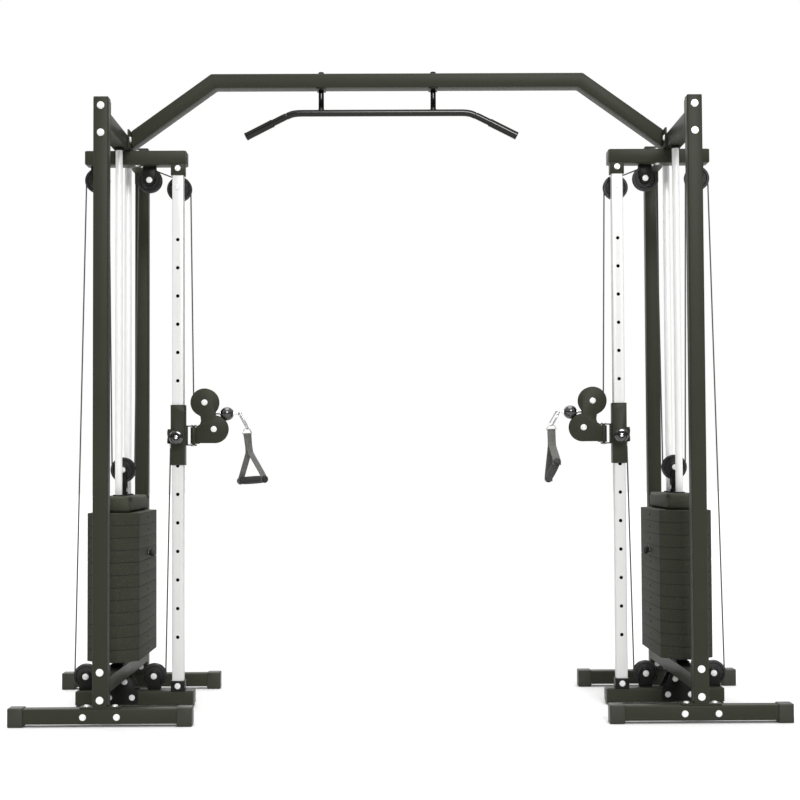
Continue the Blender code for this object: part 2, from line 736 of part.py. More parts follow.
    def handle(self, heading, lean, roll):
        """A webbing triangle on a round grip, hung from the hook. Angles in degrees."""
        drop = 0.182
        neck_z = -0.078
        half_grip = GRIP_LENGTH / 2
        thick = STRAP_THICKNESS / 2
        width = around(0, STRAP_WIDTH / 2)
        run = half_grip - 0.012
        solids = [
            cylinder((-half_grip, 0, -drop), (half_grip, 0, -drop), GRIP_RADIUS, 16),
            box(around(0, 0.0035), width, (neck_z - 0.004, -0.016), 0.001),
        ]
        for sign in (-1, 1):
            branch = [
                (sign * (run + thick), -drop),
                (sign * (run - thick), -drop),
                (sign * (0.0002 - thick), neck_z - thick),
                (sign * (0.0030 + thick), neck_z + 0.004),
            ]
            solids.append(slab(branch, width))
        turn = Euler((math.radians(roll), math.radians(lean), math.radians(heading)), "XYZ")
        out, height = HANDLE_PIVOT[self.label]
        pivot = (self.x(out), 0, height)
        obj = self.node("handle", "strap", solids)
        obj.location = pivot
        obj.rotation_euler = turn
        place = Matrix.Translation(pivot) @ turn.to_matrix().to_4x4()
        for tool in solids[1:]:
            tool.data.transform(place)

    def build(self):
        self.foot("front_foot", -UPRIGHT_Y)
        self.foot("rear_foot", UPRIGHT_Y)
        self.upright("front_upright", -UPRIGHT_Y)
        self.upright("rear_upright", UPRIGHT_Y)
        self.rail("base_rail", BASE_RAIL_Z)
        self.rail("top_rail", TOP_RAIL_Z)
        self.lower_crossbar()
        self.upper_crossbar()
        self.post()
        self.guide_rods()
        resting = PLATE_COUNT - PLATES_LIFTED
        self.weight_plates("weight_plates_resting", 0, resting)
        self.weight_plates("weight_plates_lifted", resting, PLATES_LIFTED)
        self.head_plate()
        self.selector_stem()
        self.selector_pin()
        self.pulleys()
        self.carriage_sleeve()
        self.pop_pin()
        self.swivel_arm()
        self.cable()
        self.ball_and_hook()


# -------------------------------------------------------- overhead structure
def beam_outline(inset, overrun):
    """The bent beam seen from the front, as a closed (x, z) outline."""
    slope = math.tan(BEAM_SLOPE)
    mitre = math.tan(BEAM_SLOPE / 2)
    top = BEAM_TOP - inset
    bottom = BEAM_TOP - BEAM_HEIGHT + inset
    knee_top = BEAM_STRAIGHT - inset * mitre
    knee_bottom = BEAM_STRAIGHT - (BEAM_HEIGHT - inset) * mitre
    foot = BEAM_FOOT_OUT + overrun
    right = [
        (knee_top, top),
        (foot, top - (foot - knee_top) * slope),
        (foot, bottom - (foot - knee_bottom) * slope),
        (knee_bottom, bottom),
    ]
    left = [(-x, z) for x, z in reversed(right)]
    return right + left


def overhead_beam(shop):
    depth = around(0, BEAM_HALF_DEPTH)
    solids = [slab(beam_outline(0.0, 0.0), depth)]
    rail_side = TOWER_OUT - TUBE / 2 - GAP
    middle = sum(z for x, z in beam_outline(0.0, 0.0)[1:3]) / 2
    plate_z = around(middle, 0.034)
    for sign in (-1, 1):
        across = tuple(sorted((sign * (BEAM_FOOT_OUT - 0.0005), sign * rail_side)))
        solids.append(box(across, around(0, 0.080), plate_z))
    cuts = [slab(beam_outline(WALL, 0.02), shrunk(depth))]
    heads = [
        cylinder((x, 0, BEAM_TOP - 0.001), (x, 0, BEAM_TOP + 0.012), 0.010, 6) for x in HANGERS
    ]
    shop.node("overhead_beam", "frame", solids, cuts=cuts, after=heads)


def pullup_bar(shop):
    bend = 0.030
    slope = (BAR_Z - BAR_END_Z) / (BAR_HALF_LENGTH - BAR_HALF_STRAIGHT)
    shape = [
        (-BAR_HALF_LENGTH, BAR_END_Z),
        (-BAR_HALF_STRAIGHT - bend, BAR_Z - bend * slope),
        (-BAR_HALF_STRAIGHT - bend * 0.3, BAR_Z - bend * 0.15),
        (-BAR_HALF_STRAIGHT + bend * 0.4, BAR_Z),
    ]
    shape += [(-x, z) for x, z in reversed(shape)]
    points = [(BAR_MIDDLE + x, 0.0, z) for x, z in shape]
    solids = [rod(points, BAR_RADIUS)]
    for near, end in ((points[1], points[0]), (points[-2], points[-1])):
        near, end = Vector(near), Vector(end)
        solids.append(cylinder(end + (near - end) * 0.77, end, GRIP_SLEEVE_RADIUS, 16))
    beam_bottom = BEAM_TOP - BEAM_HEIGHT - GAP
    for x in HANGERS:
        solids.append(box(around(x, 0.010), around(0, 0.020), (BAR_Z - 0.006, beam_bottom)))
        solids.append(box(around(x, 0.016), around(0, 0.033), (beam_bottom - 0.004, beam_bottom)))
    shop.node("pullup_bar", "bar", solids)


def main():
    clear_scene()
    shop = Workshop()
    for label, side in SIDES.items():
        tower = Tower(shop, label, side)
        tower.build()
        if label == "left":
            tower.handle(heading=-42, lean=-9, roll=0)
        else:
            tower.handle(heading=-79, lean=-29, roll=-7)
    overhead_beam(shop)
    pullup_bar(shop)


main()
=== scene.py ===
"""Cable crossover machine: fine pieces and finishes built round its frame.

Metres, +Z up, -Y is the front. "out" is a distance from the middle of the
machine towards a tower, so one description serves both towers.
"""

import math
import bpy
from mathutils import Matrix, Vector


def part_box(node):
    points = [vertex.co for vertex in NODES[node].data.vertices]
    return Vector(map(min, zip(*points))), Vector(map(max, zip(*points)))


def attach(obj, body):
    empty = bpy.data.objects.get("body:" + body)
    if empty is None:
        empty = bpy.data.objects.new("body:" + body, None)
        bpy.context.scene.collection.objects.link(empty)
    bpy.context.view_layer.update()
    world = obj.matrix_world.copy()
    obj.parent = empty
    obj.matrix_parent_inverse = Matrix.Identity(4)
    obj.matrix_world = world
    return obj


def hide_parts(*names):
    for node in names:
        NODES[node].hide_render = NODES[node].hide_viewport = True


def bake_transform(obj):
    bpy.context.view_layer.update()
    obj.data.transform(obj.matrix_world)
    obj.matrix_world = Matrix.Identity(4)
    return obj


bl_info = {
    "name": "Cable crossover machine",
    "version": (1, 0, 0),
    "blender": (4, 5, 0),
    "location": "View3D > Sidebar > Crossover",
    "description": "Builds the fine pieces and finishes of a cable crossover machine",
    "category": "Add Mesh",
}

import bmesh
import bpy
from bpy.props import FloatProperty, FloatVectorProperty, IntProperty, PointerProperty
from mathutils import Euler, Matrix, Vector

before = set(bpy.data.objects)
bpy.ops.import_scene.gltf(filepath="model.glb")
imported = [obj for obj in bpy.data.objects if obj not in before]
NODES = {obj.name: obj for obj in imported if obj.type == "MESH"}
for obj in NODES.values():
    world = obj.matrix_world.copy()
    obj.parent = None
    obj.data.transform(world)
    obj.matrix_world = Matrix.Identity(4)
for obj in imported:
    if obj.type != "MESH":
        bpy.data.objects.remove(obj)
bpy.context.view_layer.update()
SIDES = {"left": -1, "right": 1}
FRONT = Vector((0, -1, 0))
BACK = Vector((0, 1, 0))
UP = Vector((0, 0, 1))

# Sizes of the machine's own parts
TUBE = 0.050
CAP_LIP = 0.0035
WRAP = 0.040
CABLE = 0.0025
HINGE_OUT = 0.729
HINGE_BRACKET = (0.917, 0.988)
CABLE_ANCHOR = (0.811, 0.9297)
BALL_OUT = 0.6105
BALL_RADIUS = 0.0245
LOBE = 0.0498
CHEEK_GAP = 0.0135
STRAP_THICKNESS = 0.0026
PLATE_PITCH = 0.042
PLATE_CORNER_Y = 0.2049
PLATE_NOSE_HALF = 0.0239
ROD_Y = 0.100
POST_HALF = 0.020
POST_HOLES = 15
HOLE_PITCH = 0.100
TOP_HOLE_Z = 1.645
HANGERS = (-0.272, 0.129)

# How each handle hangs: (out, z) of its pivot, its turns about X, Y and Z, the
# twist of its strap and the tilt of its grip, in degrees
PIVOTS = {"left": (0.5403, 0.9736), "right": (0.5425, 0.9810)}
TURNS = {"left": (0, -9, -42), "right": (-7, -29, -79)}
TWIST = 16.0
GRIP_TILT = {"left": 6.0, "right": 0.0}
HOOK_SPIN = {"left": 62.0, "right": 40.0}


def middle(node):
    low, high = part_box(node)
    return (low + high) / 2


TOWER = middle("right_guide_rods").x
UPRIGHT_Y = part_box("right_rear_foot")[0].y + TUBE / 2 + CAP_LIP
BASE_RAIL_Z = middle("right_base_rail").z
TOP_RAIL_Z = middle("right_top_rail").z
POST_OUT = middle("right_adjustment_post").x
POST_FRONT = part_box("right_lower_crossbar")[0].y + 0.0045
POST_Y = POST_FRONT + POST_HALF
PIN_Z = middle("right_pop_pin").z
PULLEYS = (
    "top_outer",
    "top_inner",
    "post_top",
    "stack",
    "low_outer",
    "low_inner",
    "arm_upper",
    "arm_lower",
)


def pulley_at(name):
    """(out, z) of a pulley's centre."""
    at = middle(f"right_pulley_{name}")
    return at.x, at.z


# ------------------------------------------------------------------ finishes
class Wire:
    """A shader value that can be used in a sum."""

    def __init__(self, finish, socket):
        self.finish = finish
        self.socket = socket

    def sum(self, operation, first, second):
        made = self.finish.node(
            "ShaderNodeMath", {"operation": operation}, {0: first, 1: second}
        )
        return Wire(self.finish, made.outputs[0])

    def __add__(self, other):
        return self.sum("ADD", self, other)

    def __radd__(self, other):
        return self.sum("ADD", other, self)

    def __sub__(self, other):
        return self.sum("SUBTRACT", self, other)

    def __rsub__(self, other):
        return self.sum("SUBTRACT", other, self)

    def __mul__(self, other):
        return self.sum("MULTIPLY", self, other)

    def __rmul__(self, other):
        return self.sum("MULTIPLY", other, self)

    def __gt__(self, other):
        return self.sum("GREATER_THAN", self, other)

    def __lt__(self, other):
        return self.sum("LESS_THAN", self, other)

    def wave(self, pitch):
        """A sine from -1 to 1 that repeats every pitch."""
        turned = self * (2 * math.pi / pitch)
        return turned.sum("SINE", turned, 0.0)


class Finish:
    """A procedural material."""

    def __init__(self, name):
        self.material = bpy.data.materials.new(name)
        self.material.use_nodes = True
        self.tree = self.material.node_tree
        self.shader = self.tree.nodes["Principled BSDF"]
        self.place = Wire(self, self.node("ShaderNodeTexCoord").outputs["Object"])

    def plug(self, socket, value):
        if isinstance(value, Wire):
            self.tree.links.new(value.socket, socket)
        else:
            socket.default_value = value

    def node(self, kind, settings=None, values=None):
        made = self.tree.nodes.new(kind)
        for name, value in (settings or {}).items():
            setattr(made, name, value)
        for key, value in (values or {}).items():
            self.plug(made.inputs[key], value)
        return made

    def set(self, **values):
        for name, value in values.items():
            self.plug(self.shader.inputs[name.replace("_", " ").title()], value)

    def stretched(self, scale):
        made = self.node("ShaderNodeMapping", {}, {"Vector": self.place, "Scale": scale})
        return Wire(self, made.outputs[0])

    def noise(self, scale, detail=2.0, roughness=0.5, place=None):
        made = self.node(
            "ShaderNodeTexNoise",
            {},
            {
                "Vector": place or self.place,
                "Scale": scale,
                "Detail": detail,
                "Roughness": roughness,
            },
        )
        return Wire(self, made.outputs["Fac"])

    def cells(self, scale):
        made = self.node("ShaderNodeTexVoronoi", {}, {"Vector": self.place, "Scale": scale})
        return Wire(self, made.outputs["Distance"])

    def share(self, value, low, high):
        """How far a value lies from low to high, as 0 to 1."""
        made = self.node("ShaderNodeMapRange", {}, {0: value, 1: low, 2: high})
        return Wire(self, made.outputs[0])

    def blend(self, first, second, factor):
        made = self.node(
            "ShaderNodeMix", {"data_type": "RGBA"}, {0: factor, 6: opaque(first), 7: opaque(second)}
        )
        return Wire(self, made.outputs[2])

    def bump(self, height, distance, strength=1.0):
        made = self.node(
            "ShaderNodeBump", {}, {"Strength": strength, "Distance": distance, "Height": height}
        )
        self.plug(self.shader.inputs["Normal"], Wire(self, made.outputs[0]))

    def uv(self):
        """(across, along) in metres, from the piece's own map."""
        made = self.node("ShaderNodeUVMap", {"uv_map": "cloth"})
        split = self.node("ShaderNodeSeparateXYZ", {}, {0: Wire(self, made.outputs[0])})
        return Wire(self, split.outputs[0]), Wire(self, split.outputs[1])


def opaque(colour):
    if isinstance(colour, Wire):
        return colour
    return (*colour[:3], 1.0)


def shade(colour, amount):
    return tuple(min(1.0, value * amount) for value in colour[:3])


def powder_coat(name, colour, roughness):
    """Satin powder coat with a faint orange peel and slightly uneven gloss."""
    finish = Finish(name)
    peel = finish.noise(420.0, 2.0, 0.45)
    cloud = finish.noise(9.0, 3.0, 0.6)
    finish.set(
        base_color=finish.blend(shade(colour, 0.90), shade(colour, 1.10), cloud),
        roughness=roughness + (peel - 0.5) * 0.10 + (cloud - 0.5) * 0.10,
    )
    finish.shader.inputs["Specular IOR Level"].default_value = 0.10
    finish.bump(peel, 0.00008, 0.5)
    return finish.material


def plated(name, colour, roughness, streak=0.0, metallic=1.0):
    """Plated steel, with fine draw marks along its length."""
    finish = Finish(name)
    drawn = finish.noise(260.0, 3.0, 0.6, finish.stretched((1.0, 1.0, 0.02)))
    cloud = finish.noise(14.0, 3.0, 0.6)
    finish.set(
        base_color=finish.blend(shade(colour, 0.95), colour, drawn),
        roughness=roughness + (drawn - 0.5) * streak + (cloud - 0.5) * 0.04,
        metallic=metallic,
    )
    finish.bump(drawn, 0.00001, 0.3)
    return finish.material


def moulded(name, colour, roughness, grain, gloss=0.3):
    """Moulded nylon or rubber with a fine spark-eroded grain."""
    finish = Finish(name)
    fine = finish.noise(grain, 3.0, 0.6)
    cloud = finish.noise(22.0, 2.0, 0.5)
    finish.set(
        base_color=finish.blend(shade(colour, 0.85), shade(colour, 1.20), cloud),
        roughness=roughness + (fine - 0.5) * 0.12,
    )
    finish.shader.inputs["Specular IOR Level"].default_value = gloss
    finish.bump(fine, 0.00006, 0.3)
    return finish.material


def weight_shell(name, colour):
    """A moulded shell with pale flecks in its dull grey."""
    finish = Finish(name)
    flecks = finish.cells(260.0) < 0.30
    some = finish.noise(130.0, 1.0, 0.5) > 0.50
    grit = finish.noise(700.0, 3.0, 0.7)
    cloud = finish.noise(7.0, 4.0, 0.6)
    body = finish.blend(shade(colour, 0.82), shade(colour, 1.14), cloud)
    finish.set(
        base_color=finish.blend(body, shade(colour, 2.4), flecks * some * 0.6),
        roughness=0.66 + (grit - 0.5) * 0.22,
    )
    finish.shader.inputs["Specular IOR Level"].default_value = 0.12
    finish.bump(grit, 0.0003, 0.5)
    return finish.material


def webbing(name, colour):
    """Woven nylon tape: ribs across it and twill lines along it."""
    finish = Finish(name)
    across, along = finish.uv()
    ribs = (along + across * 0.35).wave(0.0021)
    twill = (across - along * 0.5).wave(0.0014)
    weave = ribs * 0.5 + ribs * twill * 0.5
    fuzz = finish.noise(900.0, 3.0, 0.7)
    cloud = finish.noise(45.0, 2.0, 0.5)
    dark = finish.blend(shade(colour, 0.55), shade(colour, 1.35), finish.share(weave, -1.0, 1.0))
    finish.set(
        base_color=finish.blend(dark, shade(colour, 1.5), finish.share(cloud + fuzz, 1.0, 1.5)),
        roughness=0.82 + (fuzz - 0.5) * 0.2,
    )
    finish.shader.inputs["Sheen Weight"].default_value = 0.25
    finish.shader.inputs["Sheen Roughness"].default_value = 0.5
    finish.bump(weave + fuzz * 0.5, 0.0003, 0.8)
    return finish.material


def grip_rubber(name, colour):
    """Soft grip with a raised diamond pattern."""
    finish = Finish(name)
    across, along = finish.uv()
    diamond = (along + across).wave(0.0052) * (along - across).wave(0.0052)
    fine = finish.noise(800.0, 3.0, 0.6)
    finish.set(
        base_color=finish.blend(shade(colour, 0.8), shade(colour, 1.4), finish.share(diamond, -1.0, 1.0)),
        roughness=0.62 + (fine - 0.5) * 0.2,
    )
    finish.bump(diamond + fine * 0.3, 0.0004, 0.7)
    return finish.material


def floor_finish():
    finish = Finish("pale_floor")
    cloud = finish.noise(1.5, 3.0, 0.5)
    finish.set(
        base_color=finish.blend((0.90, 0.90, 0.90), (0.93, 0.93, 0.93), cloud), roughness=0.75
    )
    return finish.material


_finishes = {}
_trees = {}


def look(name):
    """A finish by name, made the first time that it's asked for."""
    if name not in _finishes:
        looks = bpy.context.scene.crossover
        makers = {
            "frame": lambda: powder_coat("charcoal_coat", looks.frame_colour, 0.40),
            "black": lambda: powder_coat("black_coat", (0.012, 0.012, 0.0115), 0.34),
            "post": lambda: plated("bright_post", (0.71, 0.71, 0.70), 0.34, 0.08, 0.10),
            # Near-white and barely metallic: painted reflection, standing in for the bright surroundings
            # that the chrome rods mirror
            "rods": lambda: plated("rods_painted_reflection", (1.0, 1.0, 0.99), 0.24, 0.04, 0.05),
            "chrome": lambda: plated("chrome", (0.90, 0.90, 0.91), 0.08),
            "zinc": lambda: plated("zinc_bolts", (0.92, 0.92, 0.91), 0.25, 0.06, 0.35),
            "pulley": lambda: moulded("pulley_nylon", (0.010, 0.010, 0.010), 0.20, 520.0, 0.6),
            "weight": lambda: weight_shell("weight_shell", looks.weight_colour),
            "head": lambda: weight_shell("head_shell", shade(looks.weight_colour, 1.5)),
            "cable": lambda: moulded("cable_jacket", (0.060, 0.060, 0.058), 0.38, 700.0),
            "bar": lambda: plated("black_chrome", (0.034, 0.034, 0.033), 0.10, 0.02),
            "hook": lambda: plated("hook_steel", (0.50, 0.50, 0.49), 0.20, 0.04),
            "webbing": lambda: webbing("webbing", looks.webbing_colour),
            "grip": lambda: grip_rubber("grip_rubber", (0.022, 0.022, 0.022)),
            "rubber": lambda: moulded("moulded_rubber", (0.020, 0.020, 0.020), 0.55, 420.0),
            "gloss": lambda: moulded("gloss_moulding", (0.008, 0.008, 0.008), 0.10, 60.0, 1.0),
            # Near-black, used as painted shade: inside the post tube and in the gaps between the weight
            # plates
            "painted_shade": lambda: moulded("painted_shade_black", (0.010, 0.010, 0.010), 0.85, 300.0),
            "cap": lambda: moulded("end_caps", shade(looks.frame_colour, 0.82), 0.42, 500.0),
            "plug": lambda: moulded("tube_plugs", (0.016, 0.016, 0.016), 0.45, 500.0),
            "thread": lambda: moulded("thread", (0.10, 0.10, 0.095), 0.7, 900.0),
        }
        _finishes[name] = makers[name]()
    return _finishes[name]


# -------------------------------------------------------------------- shapes
def shelf():
    name = "fine_pieces"
    if name not in bpy.data.collections:
        bpy.context.scene.collection.children.link(bpy.data.collections.new(name))
    return bpy.data.collections[name]


def soften(bm, width, segments=2, least=32.0, chosen=None):
    """Rounds every edge that turns by more than an angle."""
    edges = [
        edge
        for edge in bm.edges
        if len(edge.link_faces) == 2
        and edge.calc_face_angle(0.0) > math.radians(least)
        and (chosen is None or chosen(edge))
    ]
    if edges and width:
        bmesh.ops.bevel(
            bm,
            geom=edges,
            offset=width,
            segments=segments,
            profile=0.5,
            affect="EDGES",
            clamp_overlap=True,
        )


class Shape:
    """A mesh put together from rounded solids."""

    def __init__(self):
        self.bm = bmesh.new()

    def take(self, part, rounding=0.0, segments=2, least=32.0):
        bmesh.ops.recalc_face_normals(part, faces=part.faces)
        soften(part, rounding, segments, least)
        mesh = bpy.data.meshes.new("part")
        part.to_mesh(mesh)
        part.free()
        self.bm.from_mesh(mesh)
        bpy.data.meshes.remove(mesh)
        return self

    def box(self, x, y, z, rounding=0.0006, segments=2):
        part = bmesh.new()
        bmesh.ops.create_cube(part, size=1.0)
        for vert in part.verts:
            vert.co = Vector(
                (max(pair) if value > 0 else min(pair)) for pair, value in zip((x, y, z), vert.co)
            )
        return self.take(part, rounding, segments)

    def rod(self, start, end, radius, steps=32, rounding=0.0006, end_radius=None):
        start, end = Vector(start), Vector(end)
        run = end - start
        part = bmesh.new()
        bmesh.ops.create_cone(
            part,
            cap_ends=True,
            segments=steps,
            radius1=radius,
            radius2=radius if end_radius is None else end_radius,
            depth=run.length,
        )
        turn = Vector((0, 0, 1)).rotation_difference(run).to_matrix().to_4x4()
        part.transform(Matrix.Translation((start + end) / 2) @ turn)
        return self.take(part, rounding, 2, 50.0)

    def plate(self, corners, push, rounding=0.0006, segments=2):
        """A flat outline of 3D corners, given thickness by the vector push."""
        part = bmesh.new()
        face = part.faces.new([part.verts.new(corner) for corner in corners])
        made = bmesh.ops.extrude_face_region(part, geom=[face])
        moved = [item for item in made["geom"] if isinstance(item, bmesh.types.BMVert)]
        bmesh.ops.translate(part, verts=moved, vec=push)
        return self.take(part, rounding, segments)

    def turned(self, profile, centre, axis, steps=48, closed=False):
        """A (radius, along) profile turned about an axis."""
        part = bmesh.new()
        verts = [part.verts.new((radius, 0.0, along)) for radius, along in profile]
        pairs = list(zip(verts, verts[1:] + verts[:1])) if closed else list(zip(verts, verts[1:]))
        edges = [part.edges.new(pair) for pair in pairs]
        bmesh.ops.spin(
            part,
            geom=verts + edges,
            cent=(0, 0, 0),
            axis=(0, 0, 1),
            angle=2 * math.pi,
            steps=steps,
            use_duplicate=False,
        )
        bmesh.ops.remove_doubles(part, verts=part.verts, dist=1e-6)
        turn = Vector((0, 0, 1)).rotation_difference(Vector(axis)).to_matrix().to_4x4()
        part.transform(Matrix.Translation(centre) @ turn)
        return self.take(part)

    def tube(self, points, radius, closed=False, resolution=4):
        """A round bar along points."""
        curve = bpy.data.curves.new("run", "CURVE")
        curve.dimensions = "3D"
        curve.bevel_depth = radius
        curve.bevel_resolution = resolution
        curve.use_fill_caps = True
        spline = curve.splines.new("POLY")
        spline.points.add(len(points) - 1)
        spline.use_cyclic_u = closed
        for point, co in zip(spline.points, points):
            point.co = (*co, 1)
        holder = bpy.data.objects.new("run", curve)
        bpy.context.scene.collection.objects.link(holder)
        evaluated = holder.evaluated_get(bpy.context.evaluated_depsgraph_get())
        part = bmesh.new()
        mesh = bpy.data.meshes.new_from_object(evaluated)
        part.from_mesh(mesh)
        bpy.data.meshes.remove(mesh)
        bpy.data.objects.remove(holder, do_unlink=True)
        bpy.data.curves.remove(curve)
        bmesh.ops.remove_doubles(part, verts=part.verts, dist=1e-6)
        return self.take(part)

    def copy_of(self, node, rounding, wide=0.0, least_length=0.20):
        """A CAD node with its flat faces merged, its long corners rounded by "wide"."""
        part = bmesh.new()
        part.from_mesh(NODES[node].data)
        bmesh.ops.remove_doubles(part, verts=part.verts, dist=1e-5)
        bmesh.ops.dissolve_limit(
            part, angle_limit=math.radians(1.0), verts=part.verts, edges=part.edges
        )
        if wide:

            def long_corner(edge):
                return edge.calc_length() > least_length and edge.calc_face_angle_signed(0.0) > 0.3

            soften(part, wide, 3, 32.0, long_corner)
        return self.take(part, rounding, 2, 36.0)

    def made(self, name, finish, body, slot, stands_for=(), smooth=38.0):
        """The shape as a named piece that rides on a body."""
        mesh = bpy.data.meshes.new(name)
        self.bm.to_mesh(mesh)
        self.bm.free()
        return placed(name, mesh, finish, body, stands_for, smooth)


def placed(name, mesh, finish, body, stands_for=(), smooth=38.0):
    mesh.name = name
    mesh.materials.clear()
    mesh.materials.append(look(finish))
    mesh.shade_smooth()
    mesh.set_sharp_from_angle(angle=math.radians(smooth))
    obj = bpy.data.objects.new(name, mesh)
    shelf().objects.link(obj)
    if body:
        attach(obj, body)
    if stands_for:
        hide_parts(*stands_for)
    return obj


def arc(centre, radius, start, end, step=6.0):
    """Points on an arc, as pairs, angles in degrees."""
    count = max(1, round(abs(end - start) / step))
    return [
        (
            centre[0] + radius * math.cos(math.radians(start + (end - start) * i / count)),
            centre[1] + radius * math.sin(math.radians(start + (end - start) * i / count)),
        )
        for i in range(count + 1)
    ]


def beam_top():
    """The beam's flat top, below the bolt heads that stand on it."""
    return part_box("overhead_beam")[1].z - 0.012


def around(value, half):
    return (value - half, value + half)


class Side:
    """One tower: turns distances out from the middle into places."""

    def __init__(self, label):
        self.label = label
        self.sign = SIDES[label]

    def name(self, word):
        return f"{self.label}_{word}"

    def x(self, out):
        if isinstance(out, tuple):
            return tuple(sorted(self.sign * value for value in out))
        return self.sign * out

    def at(self, out, y, z):
        return Vector((self.sign * out, y, z))

    def ring(self, points, y=0.0):
        return [self.at(out, y, z) for out, z in points]


def towers():
    return [Side(label) for label in SIDES]


# --------------------------------------------------------------------- bolts
def bolt_tree():
    """Hex bolts on washers, one on each point, turned along its "facing"."""
    tree = bpy.data.node_groups.new("hex_bolts", "GeometryNodeTree")
    sockets = {}
    tree.interface.new_socket("Geometry", in_out="INPUT", socket_type="NodeSocketGeometry")
    for name, default in (("Washer Radius", 1.0), ("Head Radius", 0.82), ("Head Height", 0.5)):
        socket = tree.interface.new_socket(name, in_out="INPUT", socket_type="NodeSocketFloat")
        socket.default_value = default
        sockets[name] = socket.identifier
    socket = tree.interface.new_socket("Material", in_out="INPUT", socket_type="NodeSocketMaterial")
    sockets["Material"] = socket.identifier
    tree.interface.new_socket("Geometry", in_out="OUTPUT", socket_type="NodeSocketGeometry")
    make, link = tree.nodes.new, tree.links.new
    inward = make("NodeGroupInput")
    outward = make("NodeGroupOutput")

    def scaled(socket, factor):
        sum_node = make("ShaderNodeMath")
        sum_node.operation = "MULTIPLY"
        link(socket, sum_node.inputs[0])
        sum_node.inputs[1].default_value = factor
        return sum_node.outputs[0]

    def drum(sides, low_radius, high_radius, depth, lift):
        cone = make("GeometryNodeMeshCone")
        cone.inputs["Vertices"].default_value = sides
        link(low_radius, cone.inputs["Radius Bottom"])
        link(high_radius, cone.inputs["Radius Top"])
        link(depth, cone.inputs["Depth"])
        place = make("ShaderNodeCombineXYZ")
        link(lift, place.inputs["Z"])
        move = make("GeometryNodeTransform")
        link(cone.outputs["Mesh"], move.inputs["Geometry"])
        link(place.outputs[0], move.inputs["Translation"])
        return move.outputs[0]

    washer, head, height = (inward.outputs[name] for name in list(sockets)[:3])
    ground = make("ShaderNodeValue")
    ground.outputs[0].default_value = 0.0
    added = make("ShaderNodeMath")
    added.operation = "ADD"
    link(scaled(height, 0.20), added.inputs[0])
    link(scaled(height, 0.55), added.inputs[1])
    joined = make("GeometryNodeJoinGeometry")
    link(drum(28, washer, scaled(washer, 0.96), scaled(height, 0.22), ground.outputs[0]), joined.inputs[0])
    link(drum(6, head, head, scaled(height, 0.56), scaled(height, 0.20)), joined.inputs[0])
    link(drum(6, head, scaled(head, 0.84), scaled(height, 0.14), added.outputs[0]), joined.inputs[0])

    def named(attribute, kind):
        node = make("GeometryNodeInputNamedAttribute")
        node.data_type = kind
        node.inputs["Name"].default_value = attribute
        return node.outputs[0]

    turn = make("FunctionNodeAlignRotationToVector")
    link(named("facing", "FLOAT_VECTOR"), turn.inputs["Vector"])
    spread = make("GeometryNodeInstanceOnPoints")
    link(inward.outputs["Geometry"], spread.inputs["Points"])
    link(joined.outputs[0], spread.inputs["Instance"])
    link(turn.outputs[0], spread.inputs["Rotation"])
    size = make("ShaderNodeCombineXYZ")
    for axis in range(3):
        link(named("size", "FLOAT"), size.inputs[axis])
    link(size.outputs[0], spread.inputs["Scale"])
    real = make("GeometryNodeRealizeInstances")
    link(spread.outputs[0], real.inputs[0])
    paint = make("GeometryNodeSetMaterial")
    link(real.outputs[0], paint.inputs["Geometry"])
    link(inward.outputs["Material"], paint.inputs["Material"])
    link(paint.outputs[0], outward.inputs[0])
    return tree, sockets


def bolts(name, body, spots, finish="zinc", height=0.5):
    """Hex bolts at (place, direction, radius), as one piece of a body."""
    if "bolts" not in _trees:
        _trees["bolts"] = bolt_tree()
    tree, sockets = _trees["bolts"]
    looks = bpy.context.scene.crossover
    mesh = bpy.data.meshes.new(name)
    mesh.from_pydata([spot[0] for spot in spots], [], [])
    facing = mesh.attributes.new("facing", "FLOAT_VECTOR", "POINT")
    facing.data.foreach_set("vector", [value for spot in spots for value in spot[1]])
    size = mesh.attributes.new("size", "FLOAT", "POINT")
    size.data.foreach_set("value", [spot[2] for spot in spots])
    holder = bpy.data.objects.new(name, mesh)
    bpy.context.scene.collection.objects.link(holder)
    modifier = holder.modifiers.new("bolts", "NODES")
    modifier.node_group = tree
    modifier[sockets["Head Radius"]] = looks.bolt_head
    modifier[sockets["Head Height"]] = height
    modifier[sockets["Material"]] = look(finish)
    evaluated = holder.evaluated_get(bpy.context.evaluated_depsgraph_get())
    result = bpy.data.meshes.new_from_object(evaluated)
    bpy.data.objects.remove(holder, do_unlink=True)
    return placed(name, result, finish, body, smooth=25.0)


# --------------------------------------------------------------------- frame
def build_frame(looks):
    for side in towers():
        for end, y in (("front", -UPRIGHT_Y), ("rear", UPRIGHT_Y)):
            foot(side, end, y)
            upright(side, end, y, looks)
        for word in ("base_rail", "top_rail"):
            node = side.name(word)
            Shape().copy_of(node, looks.edge_rounding, looks.tube_rounding).made(
                f"{node}_steel", "frame", "frame", "frame_paint", [node]
            )
        lower_crossbar(side, looks)
        upper_crossbar(side, looks)
    overhead_beam(looks)


def foot(side, end, y):
    """A foot tube with a moulded cap on each end."""
    node = side.name(f"{end}_foot")
    low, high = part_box(node)
    ends = (min(abs(low.x), abs(high.x)), max(abs(low.x), abs(high.x)))
    top = high.z - CAP_LIP
    tube = Shape().box(
        side.x((ends[0] + 0.004, ends[1] - 0.004)), around(y, TUBE / 2), (top - TUBE, top), 0.0045, 3
    )
    tube.made(f"{node}_tube", "frame", "frame", "frame_paint", [node])
    caps = Shape()
    lip = TUBE / 2 + CAP_LIP
    for start, stop in ((ends[0], ends[0] + TUBE), (ends[1] - TUBE, ends[1])):
        caps.box(side.x((start, stop)), around(y, lip), (low.z, high.z), 0.004, 4)
    caps.made(f"{node}_caps", "cap", "frame", "rubber")


